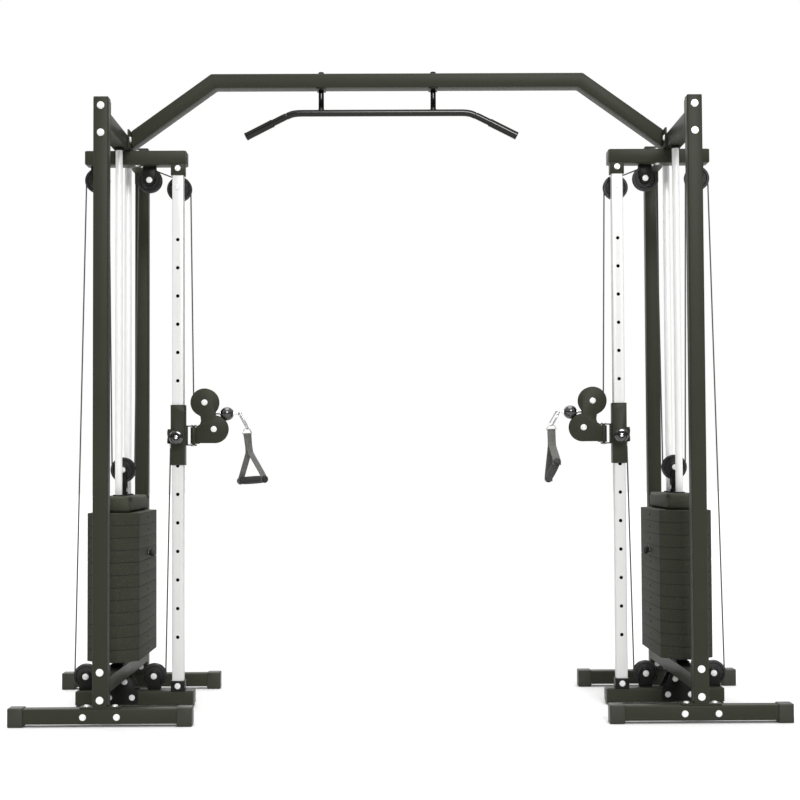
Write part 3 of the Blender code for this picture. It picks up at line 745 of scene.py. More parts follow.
def upright(side, end, y, looks):
    """A square tube on a welded flange, with a moulded plug in its top."""
    node = side.name(f"{end}_upright")
    low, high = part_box(node)
    steel = Shape().box(
        side.x(around(TOWER, TUBE / 2)),
        around(y, TUBE / 2),
        (low.z + 0.004, high.z),
        looks.tube_rounding,
        3,
    )
    steel.box(side.x(around(TOWER, 0.066)), around(y, TUBE / 2), (low.z, low.z + 0.005), 0.001)
    steel.made(f"{node}_steel", "frame", "frame", "frame_paint", [node])
    plug = Shape().box(
        side.x(around(TOWER, 0.0246)), around(y, 0.0246), (high.z - 0.004, high.z + 0.0035), 0.003, 3
    )
    plug.made(f"{node}_plug", "cap", "frame", "rubber")


def cheeks(shape, side, name, base):
    """The two plates that hold a pulley, from the tube out to a round end past the axle."""
    out, z = pulley_at(name)
    way = 1 if z > base else -1
    for y in (-CHEEK_GAP, CHEEK_GAP):
        outline = [(out + 0.022, base), (out - 0.022, base)]
        outline += [(out - 0.022, z - way * 0.006)]
        outline += arc((out, z), 0.018, 180.0, 180.0 - way * 180.0, 15.0)
        outline += [(out + 0.022, z - way * 0.006)]
        shape.plate(side.ring(outline, y), Vector((0, 0.003 if y > 0 else -0.003, 0)), 0.0005)


def crossbar(side, node, height, looks):
    """A square crossbar with a plug in each end."""
    low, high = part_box(node)
    ends = (min(abs(low.x), abs(high.x)), max(abs(low.x), abs(high.x)))
    shape = Shape().box(
        side.x(ends), (POST_FRONT, POST_FRONT + 0.070), height, looks.tube_rounding, 3
    )
    plugs = Shape()
    for end, way in ((ends[0], 1), (ends[1], -1)):
        plugs.box(
            side.x((end - way * 0.0025, end + way * 0.010)),
            (POST_FRONT + 0.0012, POST_FRONT + 0.0688),
            (height[0] + 0.0012, height[1] - 0.0012),
            0.0024,
            3,
        )
    return shape, plugs


def lower_crossbar(side, looks):
    node = side.name("lower_crossbar")
    low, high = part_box(node)
    bar = (low.z + 0.008, low.z + 0.058)
    shape, plugs = crossbar(side, node, bar, looks)
    for out in (tube_end(node, 0) + 0.0155, tube_end(node, 1) - 0.0155):
        plugs.box(side.x(around(out, 0.015)), (POST_FRONT, POST_FRONT + 0.070), (low.z, bar[0]), 0.002)
    gussets = Shape()
    for y in (low.y + 0.0002, high.y - 0.0042):
        gusset = [(TOWER - 0.060, 0.015), (TOWER - 0.060, 0.050), (TOWER - 0.032, 0.1055)]
        gusset += [(TOWER + 0.032, 0.1055), (TOWER + 0.060, 0.050), (TOWER + 0.060, 0.015)]
        gussets.plate(side.ring(gusset, y), Vector((0, 0.004, 0)), 0.0008)
    gussets.made(side.name("low_gussets"), "black", "frame", "frame_paint")
    shape.made(f"{node}_steel", "frame", "frame", "frame_paint", [node])
    plates = Shape()
    for name in ("low_outer", "low_inner"):
        cheeks(plates, side, name, bar[1] - 0.0005)
    socket(plates, side, (bar[1] - 0.0015, bar[1] + 0.035))
    plates.made(side.name("low_brackets"), "black", "frame", "frame_paint")
    plugs.made(side.name("low_plugs"), "cap", "frame", "rubber")


def upper_crossbar(side, looks):
    node = side.name("upper_crossbar")
    top, underside = high_bar(side)
    bar = (underside, top)
    shape, plugs = crossbar(side, node, bar, looks)
    shape.made(f"{node}_steel", "frame", "frame", "frame_paint", [node])
    plates = Shape()
    for name in ("top_outer", "top_inner"):
        cheeks(plates, side, name, bar[0] + 0.0005)
    plates.made(side.name("high_brackets"), "black", "frame", "frame_paint")
    holder = Shape()
    socket(holder, side, (bar[0] - 0.0385, bar[0] + 0.0015))
    holder.made(side.name("high_socket"), "frame", "frame", "frame_paint")
    plugs.made(side.name("high_plugs"), "cap", "frame", "rubber")


def tube_end(node, which):
    """The inner (0) or outer (1) end of a node, as a distance out."""
    low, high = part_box(node)
    return sorted((abs(low.x), abs(high.x)))[which]


def socket(shape, side, height):
    """A folded bracket round the front and sides of the post's end."""
    front = POST_FRONT - 0.0043
    shape.box(side.x(around(POST_OUT, 0.0243)), (front, front + 0.004), height, 0.0008)
    for way in (-1, 1):
        shape.box(
            side.x(around(POST_OUT + way * 0.0223, 0.0020)), (front + 0.001, POST_Y + 0.020), height, 0.0006
        )


def overhead_beam(looks):
    """A tube mitred at two bends, with a bolted flange on each foot."""
    end_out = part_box("overhead_beam")[1].x
    top = beam_top()
    straight, slope = 0.663, math.radians(35.8)
    foot_out = end_out - 0.0064
    bottom_bend = straight - TUBE * math.tan(slope / 2)
    run = foot_out - straight
    lower_run = foot_out - bottom_bend
    half = [(straight, top), (foot_out, top - run * math.tan(slope))]
    half += [(foot_out, top - TUBE - lower_run * math.tan(slope)), (bottom_bend, top - TUBE)]
    outline = half + [(-x, z) for x, z in reversed(half)]
    shape = Shape().plate([Vector((x, -0.035, z)) for x, z in outline], Vector((0, 0.070, 0)), 0.0045, 3)
    for way in (-1, 1):
        ends = sorted((way * (foot_out - 0.0002), way * (end_out - 0.0001)))
        shape.box(ends, around(0, 0.080), around(2.0, 0.034), 0.0012)
    shape.made("overhead_beam_steel", "frame", "frame", "frame_paint", ["overhead_beam"])


# --------------------------------------------------------------- post and rods
def build_posts(looks):
    for side in towers():
        punched_post(side)
        guide_rods(side)


def punched_post(side):
    """A square tube with a row of round pin holes through its front and back."""
    low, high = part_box(side.name("adjustment_post"))
    outer = Shape().box(
        side.x(around(POST_OUT, POST_HALF)), around(POST_Y, POST_HALF), (low.z, high.z), 0.0032, 4
    )
    inner = Shape().box(
        side.x(around(POST_OUT, 0.0175)), around(POST_Y, 0.0175), (low.z - 0.02, high.z + 0.02), 0.002
    )
    holes = Shape()
    for index in range(POST_HOLES):
        z = TOP_HOLE_Z - HOLE_PITCH * index
        holes.rod(side.at(POST_OUT, POST_Y - 0.04, z), side.at(POST_OUT, POST_Y + 0.04, z), 0.0062, 28, 0)
    solids = []
    for shape in (outer, inner, holes):
        mesh = bpy.data.meshes.new("solid")
        shape.bm.to_mesh(mesh)
        shape.bm.free()
        solid = bpy.data.objects.new("solid", mesh)
        bpy.context.scene.collection.objects.link(solid)
        solids.append(solid)
    for cutter in solids[1:]:
        modifier = solids[0].modifiers.new("cut", "BOOLEAN")
        modifier.operation = "DIFFERENCE"
        modifier.object = cutter
        modifier.solver = "EXACT"
    evaluated = solids[0].evaluated_get(bpy.context.evaluated_depsgraph_get())
    part = bmesh.new()
    part.from_mesh(bpy.data.meshes.new_from_object(evaluated))
    for solid in solids:
        bpy.data.objects.remove(solid, do_unlink=True)
    node = side.name("adjustment_post")
    tube = Shape().take(part).made(f"{node}_tube", "post", "frame", "bright_post", [node])
    # The tube's inside faces take the near-black finish: painted shade inside the tube, so the pin holes
    # read dark
    tube.data.materials.append(look("painted_shade"))
    # A near-black sheet just inside the back wall: painted shade seen through the pin holes
    strip = Shape().box(
        side.x(around(POST_OUT, 0.0168)),
        (POST_Y + 0.0160, POST_Y + 0.0170),
        (low.z + 0.004, high.z - 0.004),
        0.0002,
    )
    strip.made(side.name("post_strip"), "painted_shade", "frame", "bright_post")
    for face in tube.data.polygons:
        across = abs(face.center.x - side.x(POST_OUT))
        face.material_index = int(across < 0.0176 and abs(face.center.y - POST_Y) < 0.0190)
    out, z = pulley_at("post_top")
    axle = Shape()
    axle.rod(side.at(out, POST_Y + 0.019, z), side.at(out, 0.0145, z), 0.0052, 24)
    axle.rod(side.at(out, -0.0112, z), side.at(out, -0.0103, z), 0.010, 28, 0.0002)
    axle.made(side.name("post_top_axle"), "zinc", "frame", "chrome")


def guide_rods(side):
    low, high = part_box(side.name("guide_rods"))
    rods, rubber, strip = Shape(), Shape(), Shape()
    bumper = [(0.0127, 0.0), (0.0210, 0.0), (0.0220, 0.0015), (0.0222, 0.010)]
    bumper += [(0.0205, 0.0185), (0.0185, 0.0196), (0.0127, 0.0198)]
    for y in (-ROD_Y, ROD_Y):
        rods.rod(side.at(TOWER, y, low.z + 0.004), side.at(TOWER, y, high.z), 0.0125, 48, 0.0008)
        rubber.turned(bumper, side.at(TOWER, y, low.z + 0.0051), UP, 40, closed=True)
        strip.rod(side.at(TOWER, y, high.z - 0.010), side.at(TOWER, y, high.z - 0.0003), 0.0165, 36, 0.001)
    strip.box(side.x(around(TOWER, 0.022)), around(0.0, 0.140), (low.z, low.z + 0.005), 0.0008)
    node = side.name("guide_rods")
    # The rods' near-white finish is painted reflection of the bright surroundings
    rods.made(f"{node}_bars", "rods", "frame", "chrome", [node])
    rubber.made(side.name("rod_bumpers"), "rubber", "frame", "rubber")
    strip.made(side.name("rod_strip"), "black", "frame", "black_steel")


# ------------------------------------------------------------------- weights
def build_weights(looks):
    for side in towers():
        stack = side.name("stack")
        for word, body in (("resting", "frame"), ("lifted", stack)):
            node = side.name(f"weight_plates_{word}")
            Shape().copy_of(node, 0.0, looks.plate_rounding, 0.040).made(
                f"{node}_shells", "weight", body, "weight_shell", [node]
            )
            selector_bushes(side, node, body)
            painted_gap_shade(node, body)
        node = side.name("head_plate")
        Shape().copy_of(node, 0.0016).made(f"{node}_shell", "head", stack, "weight_shell", [node])
        head_fittings(side, stack)
        selector_stem(side, stack)
        selector_pin(side)


def selector_bushes(side, node, body):
    """A plated bush round each selector hole."""
    low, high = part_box(node)
    count = round((high.z - low.z) / PLATE_PITCH)
    face = min(abs(low.x), abs(high.x))
    shape = Shape()
    for index in range(count):
        z = low.z + 0.0207 + index * PLATE_PITCH
        profile = [(0.0052, -0.004), (0.0052, 0.0003), (0.0058, 0.0008)]
        profile += [(0.0074, 0.0008), (0.0080, 0.0002), (0.0080, -0.004)]
        shape.turned(profile, side.at(face, 0.0, z), (-side.sign, 0, 0), 24, closed=True)
    shape.made(f"{node}_bushes", "black", body, "black_steel")


def painted_gap_shade(node, body):
    """The thin dark pad between each plate and the one under it."""
    low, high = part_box(node)
    count = round((high.z - low.z) / PLATE_PITCH)
    centre = (low + high) / 2
    wide, deep, nose = (high.x - low.x) / 2 - 0.0004, PLATE_CORNER_Y, PLATE_NOSE_HALF
    tip = (high.y - low.y) / 2 - 0.0004
    corners = [(wide, -deep), (wide, deep), (nose, tip), (-nose, tip), (-wide, deep), (-wide, -deep)]
    corners += [(-nose, -tip), (nose, -tip)]
    shape = Shape()
    for index in range(count):
        z = low.z + index * PLATE_PITCH - (0.0019 if index else -0.0004)
        outline = [Vector((centre.x + x, y, z)) for x, y in corners]
        shape.plate(outline, Vector((0, 0, 0.0032)), 0.0002, 1)
    # Painted shadow: these dark sheets stand in for the shade in the gaps between plates
    shape.made(f"{node}_pads", "painted_shade", body, "rubber")


def head_fittings(side, stack):
    """The guide bushes in the head plate, and the buttons on its corners."""
    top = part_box(side.name("head_plate"))[1].z
    shape = Shape()
    profile = [(0.0131, -0.003), (0.0131, 0.0048), (0.0190, 0.0048), (0.0200, 0.0038), (0.0200, -0.003)]
    for y in (-ROD_Y, ROD_Y):
        shape.turned(profile, side.at(TOWER, y, top), UP, 40, closed=True)
    for way in (-1, 1):
        corner = side.at(TOWER - 0.0545, way * 0.1965, top - 0.0085)
        shape.rod(corner, corner + Vector((-side.sign * 0.0020, way * 0.0020, 0)), 0.0085, 28, 0.0004)
    shape.made(side.name("head_bushes"), "rubber", stack, "rubber")


def selector_stem(side, stack):
    out, z = pulley_at("stack")
    head_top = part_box(side.name("head_plate"))[1].z
    node = side.name("selector_stem")
    bridge = head_top + 0.024
    shape = Shape()
    foot_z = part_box(node)[0].z
    shape.rod(side.at(out, 0, foot_z), side.at(out, 0, bridge + 0.003), 0.011, 36, 0.001)
    shape.rod(side.at(out, 0, head_top + 0.0004), side.at(out, 0, head_top + 0.013), 0.017, 6, 0.0012)
    shape.rod(side.at(out, 0, head_top + 0.0003), side.at(out, 0, head_top + 0.003), 0.021, 36, 0.0006)
    shape.box(side.x(around(out, 0.0125)), around(0.0, 0.0160), (bridge, bridge + 0.006), 0.001)
    for way in (-1, 1):
        outline = [(out - 0.0125, bridge), (out + 0.0125, bridge)]
        outline += arc((out, z), 0.0125, 0.0, 180.0, 12.0)
        shape.plate(side.ring(outline, way * CHEEK_GAP), Vector((0, way * 0.003, 0)), 0.0006)
    shape.made(f"{node}_steel", "black", stack, "black_steel", [node])
    bolts(
        side.name("stack_pulley_bolts"),
        stack,
        [(side.at(out, -0.0165, z), FRONT, 0.0100), (side.at(out, 0.0165, z), BACK, 0.0100)],
    )


def selector_pin(side):
    """The pin that picks up the plates, with a round pull knob."""
    node = side.name("selector_pin")
    low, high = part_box(node)
    z = (low.z + high.z) / 2
    inner = min(abs(low.x), abs(high.x))
    outer = max(abs(low.x), abs(high.x))
    shaft = Shape().rod(side.at(inner + 0.015, 0, z), side.at(outer, 0, z), 0.0045, 24, 0.001)
    shaft.made(f"{node}_shaft", "chrome", side.name("selector"), "chrome", [node])
    profile = [(0.0, 0.0), (0.0090, 0.0), (0.0125, 0.0020), (0.0139, 0.0060), (0.0139, 0.0110)]
    profile += [(0.0120, 0.0150), (0.0090, 0.0175), (0.0085, 0.0215), (0.0080, 0.0225), (0.0, 0.0225)]
    knob = Shape().turned(profile, side.at(inner, 0, z), (side.sign, 0, 0), 40)
    knob.made(f"{node}_knob", "rubber", side.name("selector"), "black_steel")


# ------------------------------------------------------------------- pulleys
def build_pulleys(looks):
    """Grooved nylon wheels on plated bearings."""
    half = 0.010
    wheel = [(0.0118, -half), (0.0118, half), (0.0165, half), (0.0180, half - 0.0012)]
    wheel += [(0.0195, half - 0.0042)]
    for ridge in (0.0228, 0.0268, 0.0308):
        wheel += [(ridge, half - 0.0042), (ridge + 0.0004, half - 0.0028)]
        wheel += [(ridge + 0.0012, half - 0.0028), (ridge + 0.0016, half - 0.0042)]
    wheel += [(0.0335, half - 0.0042), (0.0348, half - 0.0012)]
    wheel += [(0.0360, half), (0.0430, half), (0.0443, half - 0.0012), (0.0443, half - 0.0022)]
    groove = [(0.0410, 0.0052), (0.0385, 0.0036), (0.0370, 0.0020), (0.0365, 0.0)]
    profile = wheel + groove
    profile += [(radius, -along) for radius, along in reversed(groove[:-1])]
    profile += [(radius, -along) for radius, along in reversed(wheel[2:])]
    ring = [(0.0053, -0.0100), (0.0053, 0.0100), (0.0080, 0.0100), (0.0084, 0.0092)]
    ring += [(0.0100, 0.0092), (0.0104, 0.0100), (0.0117, 0.0100), (0.0117, -0.0100)]
    ring += [(0.0104, -0.0100), (0.0100, -0.0092), (0.0084, -0.0092), (0.0080, -0.0100)]
    for side in towers():
        for name in PULLEYS:
            node = side.name(f"pulley_{name}")
            centre = middle(node)
            body = f"{node}_wheel"
            Shape().turned(profile, centre, BACK, looks.pulley_steps, closed=True).made(
                f"{node}_rim", "pulley", body, "pulley_nylon", [node], 30.0
            )
            Shape().turned(ring, centre, BACK, 40, closed=True).made(
                f"{node}_bearing", "zinc", body, "chrome", (), 30.0
            )


# ------------------------------------------------------------ carriage and arm
def build_carriages(looks):
    for side in towers():
        carriage(side, looks)
        pop_pin(side)
        swivel_arm(side, looks)


def carriage(side, looks):
    body = side.name("carriage")
    node = side.name("carriage_sleeve")
    Shape().copy_of(node, 0.0007, 0.003).made(f"{node}_steel", "frame", body, "frame_paint", [node])
    low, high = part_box(node)
    glides = Shape()
    for z in ((low.z - 0.0030, low.z + 0.0005), (high.z - 0.0005, high.z + 0.0030)):
        for across, along in (
            ((POST_OUT - 0.0252, POST_OUT - 0.0204), around(POST_Y, 0.0252)),
            ((POST_OUT + 0.0204, POST_OUT + 0.0252), around(POST_Y, 0.0252)),
            (around(POST_OUT, 0.0205), (POST_Y - 0.0252, POST_Y - 0.0204)),
            (around(POST_OUT, 0.0205), (POST_Y + 0.0204, POST_Y + 0.0252)),
        ):
            glides.box(side.x(across), along, z, 0.0008)
    glides.made(side.name("sleeve_glides"), "plug", body, "rubber")
    hinge = Shape()
    for z, way in zip(HINGE_BRACKET, (-1, 1)):
        hinge.rod(
            side.at(HINGE_OUT, 0, z), side.at(HINGE_OUT, 0, z + way * 0.0028), 0.0095, 28, 0.0008
        )
    hinge.made(side.name("hinge_pin"), "zinc", body, "chrome")
    anchor = Shape()
    for z in (0.9335, 0.9615):
        anchor.rod(side.at(0.8035, -0.012, z), side.at(0.8205, -0.012, z), 0.0098, 32, 0.0008)
    anchor.made(side.name("anchor_washers"), "black", body, "black_steel")
    fitting = Shape()
    out = CABLE_ANCHOR[0]
    fitting.rod(side.at(out, 0, 0.9296), side.at(out, 0, 0.9150), 0.0045, 24, 0.0008)
    fitting.rod(side.at(out, 0, 0.9150), side.at(out, 0, 0.9080), 0.0045, 24, 0.0004, 0.0030)
    fitting.made(side.name("anchor_ferrule"), "zinc", body, "chrome")


def pop_pin(side):
    """A pull pin: plated sleeve and stud, round moulded knob."""
    node = side.name("pop_pin")
    body = side.name("pop_pin_body")
    low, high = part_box(node)
    tip = side.at(POST_OUT, low.y, PIN_Z)
    profile = [(0.0062, 0.0180), (0.0125, 0.0180), (0.0165, 0.0165), (0.0195, 0.0140)]
    profile += [(0.0232, 0.0125), (0.0240, 0.0105), (0.0240, 0.0050), (0.0225, 0.0018)]
    profile += [(0.0190, 0.0), (0.0110, 0.0), (0.0100, 0.0014), (0.0062, 0.0014)]
    knob = Shape().turned(profile, tip, BACK, 48, closed=True)
    knob.made(f"{node}_knob", "gloss", body, "rubber", [node], 30.0)
    profile = [(0.0135, 0.0172), (0.0190, 0.0172), (0.0205, 0.0186)]
    profile += [(0.0205, 0.0246), (0.0195, 0.0256), (0.0135, 0.0256)]
    skirt = Shape().turned(profile, tip, BACK, 48, closed=True)
    skirt.made(f"{node}_skirt", "chrome", body, "chrome")
    stud = Shape()
    stud.rod(tip + BACK * 0.0006, side.at(POST_OUT, high.y, PIN_Z), 0.0046, 28, 0.0010)
    stud.rod(tip, tip + BACK * 0.004, 0.0062, 28, 0.0010)
    stud.made(f"{node}_stud", "chrome", body, "chrome")
    profile = [(0.0058, 0.0), (0.0108, 0.0), (0.0120, 0.0010), (0.0120, 0.0060), (0.0110, 0.0066)]
    profile += [(0.0110, 0.0120), (0.0123, 0.0126), (0.0123, 0.0185), (0.0058, 0.0185)]
    barrel_front = side.at(POST_OUT, POST_Y - 0.0437, PIN_Z)
    barrel = Shape().turned(profile, barrel_front, BACK, 40, closed=True)
    barrel.made(side.name("pin_barrel"), "zinc", side.name("carriage"), "chrome")


def swivel_arm(side, looks):
    """Two cheek plates with round lobes over the arm's pulleys, and the hinge knuckle."""
    node = side.name("swivel_arm")
    body = side.name("arm")
    upper, lower = pulley_at("arm_upper"), pulley_at("arm_lower")
    root = HINGE_OUT - 0.012
    outline = arc(upper, LOBE, -52.0, 222.0, 5.0)
    outline += [(lower[0] - 0.004, 1.0235)]
    outline += arc(lower, LOBE, 96.0, 276.0, 5.0)
    outline += [(root - 0.003, lower[1] - LOBE + 0.0005), (root, lower[1] - LOBE + 0.004)]
    outline += [(root, 0.984), (root - 0.003, 0.987), (upper[0] + 0.016, 0.992)]
    outline += [(upper[0] + 0.0125, 1.004), (upper[0] + 0.0145, 1.020)]
    cheeks = Shape()
    for way in (-1, 1):
        cheeks.plate(side.ring(outline, way * CHEEK_GAP), Vector((0, way * 0.004, 0)), 0.0009)
    cheeks.made(f"{node}_cheeks", "frame", body, "frame_paint", [node])
    knuckle = Shape()
    knuckle.box(side.x((root - 0.016, root)), around(0, 0.0134), (0.9265, 0.9785), 0.0008)
    knuckle.box(side.x((root - 0.008, HINGE_OUT - 0.004)), around(0, 0.0088), (0.9228, 0.9822), 0.0008)
    profile = [(0.0056, -0.0297), (0.0056, 0.0297), (0.0108, 0.0297)]
    profile += [(0.0113, 0.0290), (0.0113, -0.0290), (0.0108, -0.0297)]
    hinge_middle = side.at(HINGE_OUT, 0, sum(HINGE_BRACKET) / 2)
    knuckle.turned(profile, hinge_middle, UP, 36, closed=True)
    knuckle.made(side.name("arm_knuckle"), "frame", body, "frame_paint")
    axles = Shape()
    for out, z in (upper, lower):
        axles.rod(side.at(out, -0.0172, z), side.at(out, 0.0172, z), 0.0051, 24, 0.0004)
    axles.made(side.name("arm_axles"), "zinc", body, "chrome")


# -------------------------------------------------------------------- cables
def build_cables(looks):
    """The cable in lengths: each rides on one body, or bends between two."""
    pulley = {name: pulley_at(name) for name in PULLEYS}
    for side in towers():
        upper_wrap = arc(pulley["arm_upper"], WRAP, -90.0, 0.0, 5.0)
        over_top = arc(pulley["post_top"], WRAP, 180.0, 72.6, 5.0)
        over_top += arc(pulley["top_inner"], WRAP, 106.8, 0.75, 5.0)
        stack_wrap = arc(pulley["stack"], WRAP, -179.25, -0.7, 5.0)
        outside = arc(pulley["top_outer"], WRAP, 179.3, 1.2, 5.0)
        outside += arc(pulley["low_outer"], WRAP, 1.2, -90.0, 5.0)
        outside += arc(pulley["low_inner"], WRAP, -90.0, -178.8, 5.0)
        arm, carried = side.name("arm"), side.name("carriage")
        stack, hand = side.name("stack"), side.name("cable_end")
        ball_point = (BALL_OUT + BALL_RADIUS + 0.0005, pulley["arm_upper"][1] - WRAP)
        lengths = [
            ("hand", [ball_point, upper_wrap[0]], hand, arm),
            ("arm_wrap", upper_wrap, arm, None),
            ("riser", [upper_wrap[-1], over_top[0]], carried, "frame"),
            ("top_wrap", over_top, "frame", None),
            ("drop", [over_top[-1], stack_wrap[0]], "frame", stack),
            ("stack_wrap", stack_wrap, stack, None),
            ("climb", [stack_wrap[-1], outside[0]], stack, "frame"),
            ("outside", outside, "frame", None),
            ("tail", [outside[-1], CABLE_ANCHOR], "frame", carried),
        ]
        for word, points, body, other in lengths:
            if other:
                first, last = Vector(points[0]), Vector(points[1])
                steps = max(8, int((last - first).length / 0.02))
                points = [first.lerp(last, i / steps) for i in range(steps + 1)]
            shape = Shape().tube(side.ring(points), CABLE, resolution=3)
            name = side.name(f"cable_{word}")
            stands_for = [side.name("cable")] if word == "outside" else ()
            piece = shape.made(name, "cable", None if other else body, "cable_jacket", stands_for)
            if other:
                start, end = side.ring((points[0], points[-1]))
                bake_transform(piece)


# ------------------------------------------------------------------- handles
def build_handles(looks):
    for side in towers():
        stop_ball(side)
        snap_hook(side)
        turn = Euler([math.radians(angle) for angle in TURNS[side.label]], "XYZ")
        strap_handle(side, turn, looks)


def stop_ball(side):
    """A glossy rubber ball, dished where the cable's ferrule seats, and its chrome ends."""
    node = side.name("ball_and_hook")
    body = side.name("cable_end")
    z = pulley_at("arm_upper")[1] - WRAP
    centre = side.at(BALL_OUT, 0, z)
    outward = Vector((side.sign, 0, 0))
    profile = [(0.0, -0.0222), (0.0070, -0.0222), (0.0085, -0.0230)]
    profile += arc((0.0, 0.0), BALL_RADIUS, -67.0, 67.0, 4.0)
    profile += [(0.0085, 0.0230), (0.0070, 0.0222), (0.0, 0.0222)]
    Shape().turned(profile, centre, outward, 56).made(
        f"{node}_ball", "gloss", body, "rubber", [node], 60.0
    )
    chrome = Shape()
    chrome.rod(centre - outward * 0.0218, centre - outward * 0.0275, 0.0066, 32, 0.0010)
    chrome.rod(centre - outward * 0.0270, centre - outward * 0.0320, 0.0046, 32, 0.0008)
    chrome.rod(centre + outward * 0.0218, centre + outward * 0.0262, 0.0060, 32, 0.0010)
    chrome.made(side.name("ball_ferrules"), "chrome", body, "chrome")


def snap_hook(side):
    """A wire snap hook: a long loop, its gate, the gate's hinge and an eye on the ball's stem."""
    z = pulley_at("arm_upper")[1] - WRAP
    out, height = PIVOTS[side.label]
    top = side.at(BALL_OUT - 0.0470, 0, z - 0.0040)
    low = side.at(out, 0, height + 0.0075)
    along = (low - top).normalized()
    spin = math.radians(HOOK_SPIN[side.label])
    across = Matrix.Rotation(spin, 3, along) @ along.cross(BACK)
    radius = 0.0075

    def bend(centre, start):
        turned = arc((0.0, 0.0), radius, start, start + 180.0, 15.0)
        return [centre + across * u + along * v for u, v in turned]

    shape = Shape().tube(bend(low, 0.0) + bend(top, 180.0), 0.0022, closed=True)
    gate = (top + along * 0.006 + across * radius, low - along * 0.004 + across * radius)
    shape.rod(*gate, 0.0030, 24, 0.0006)
    pin = along.cross(across) * 0.0040
    shape.rod(gate[0] - pin, gate[0] + pin, 0.0014, 16, 0.0003)
    eye_centre = top - along * 0.0035
    eye = [eye_centre + side.at(out, 0, up) for out, up in arc((0.0, 0.0), 0.0062, 0.0, 340.0, 20.0)]
    shape.tube(eye, 0.0018, closed=True)
    shape.rod(eye[0], side.at(BALL_OUT - 0.0300, 0, z), 0.0026, 20, 0.0006)
    shape.made(side.name("snap_hook"), "hook", side.name("cable_end"), "chrome")


def ribbon(centres, normals, axes, width, thickness):
    """A flat strap along a path, with a map in metres: across it and along it."""
    bm = bmesh.new()
    layer = bm.loops.layers.uv.new("cloth")
    rows = []
    run = 0.0
    columns = 10
    for index, (centre, normal) in enumerate(zip(centres, normals)):
        if index:
            run += (centre - centres[index - 1]).length
        row = []
        for face in (1, -1):
            for column in range(columns + 1):
                share = column / columns * 2 - 1
                crown = 1.0 - 0.35 * abs(share) ** 6
                offset = axes[index] * (share * face * width / 2)
                place = centre + offset + normal * (face * thickness / 2 * crown)
                row.append((bm.verts.new(place), share * face * width / 2, run))
        rows.append(row)
    for first, second in zip(rows, rows[1:]):
        for index in range(len(first)):
            after = (index + 1) % len(first)
            corners = (first[index], first[after], second[after], second[index])
            face = bm.faces.new([corner[0] for corner in corners])
            for loop, corner in zip(face.loops, corners):
                loop[layer].uv = (corner[1], corner[2])
    for row in (rows[0], rows[-1]):
        face = bm.faces.new([corner[0] for corner in row])
        for loop, corner in zip(face.loops, row):
            loop[layer].uv = (corner[1], corner[2])
    bmesh.ops.recalc_face_normals(bm, faces=bm.faces)
    return bm


def smooth_path(points, per_span=8):
    """A smooth run of 3D points through the given ones."""
    made = []
    ends = [points[0] * 2 - points[1], *points, points[-1] * 2 - points[-2]]
    for a, b, c, d in zip(ends, ends[1:], ends[2:], ends[3:]):
        for step in range(per_span):
            t = step / per_span
            made.append(
                ((b * 2) + (c - a) * t + (a * 2 - b * 5 + c * 4 - d) * t**2 + (b * 3 - a - c * 3 + d) * t**3)
                / 2
            )
    made.append(points[-1])
    return made


def normals_of(path, axes):
    made = []
    for index in range(len(path)):
        ahead = path[min(index + 1, len(path) - 1)]
        behind = path[max(index - 1, 0)]
        made.append((ahead - behind).cross(axes[index]).normalized())
    return made


def strap_handle(side, turn, looks):
    """A webbing sling round a grip, sewn into one folded strap that hangs on a ring."""
    node = side.name("handle")
    body = side.name("handle_body")
    width = looks.webbing_width
    drop, half, neck = 0.182, 0.0590, -0.080
    place = Matrix.Translation(side.at(*pivot_of(side))) @ turn.to_matrix().to_4x4()
    hang = Matrix.Translation((0, 0, -drop))
    tilt = hang @ Matrix.Rotation(math.radians(GRIP_TILT[side.label]), 4, "Y") @ hang.inverted()
    cloth = bmesh.new()
    cloth.loops.layers.uv.new("cloth")

    def sew(path, axes):
        part = ribbon(path, normals_of(path, axes), axes, width, STRAP_THICKNESS)
        mesh = bpy.data.meshes.new("strap")
        part.to_mesh(mesh)
        part.free()
        cloth.from_mesh(mesh)
        bpy.data.meshes.remove(mesh)

    def add(points, twist=0.0, per_span=6):
        path = smooth_path(points, per_span)
        span = points[-1].z - points[0].z
        axes = []
        for point in path:
            share = max(0.0, min(1.0, (point.z - points[0].z) / span)) if twist else 0.0
            axes.append(Matrix.Rotation(math.radians(-twist * share), 3, "Z") @ BACK)
        sew(path, axes)

    for way in (-1, 1):
        add([Vector((way * 0.0016, 0, z)) for z in (neck, -0.060, -0.040, -0.022)], TWIST)
        sling = [(0.0032, neck + 0.018), (0.0046, neck), (0.0110, neck - 0.014)]
        ends = [(half - 0.0060, -drop + 0.018), (half - 0.0005, -drop + 0.004), (half, -drop - 0.010)]
        points = [Vector((way * x, 0, z)) for x, z in sling]
        add(points + [tilt @ Vector((way * x, 0, z)) for x, z in ends], 0.0, 8)
    turn_z = Matrix.Rotation(math.radians(-TWIST), 3, "Z")
    fold = [Vector((0.0016, 0, -0.0240))]
    for angle in range(-60, 241, 30):
        a = math.radians(angle)
        fold.append(Vector((math.cos(a) * 0.0040, 0, -0.0185 + math.sin(a) * 0.0036)))
    fold.append(Vector((-0.0016, 0, -0.0240)))
    path = [turn_z @ point for point in smooth_path(fold, 3)]
    sew(path, [turn_z @ BACK] * len(path))
    cloth.transform(place)
    mesh = bpy.data.meshes.new(node)
    cloth.to_mesh(mesh)
    cloth.free()
    placed(f"{node}_webbing", mesh, "webbing", body, [node], 50.0)
    ring(side, place, turn_z, body)
    grip(side, place @ tilt, node, body, half, drop)
    stitches(side, place, turn_z, body, width)


def pivot_of(side):
    out, height = PIVOTS[side.label]
    return out, 0, height


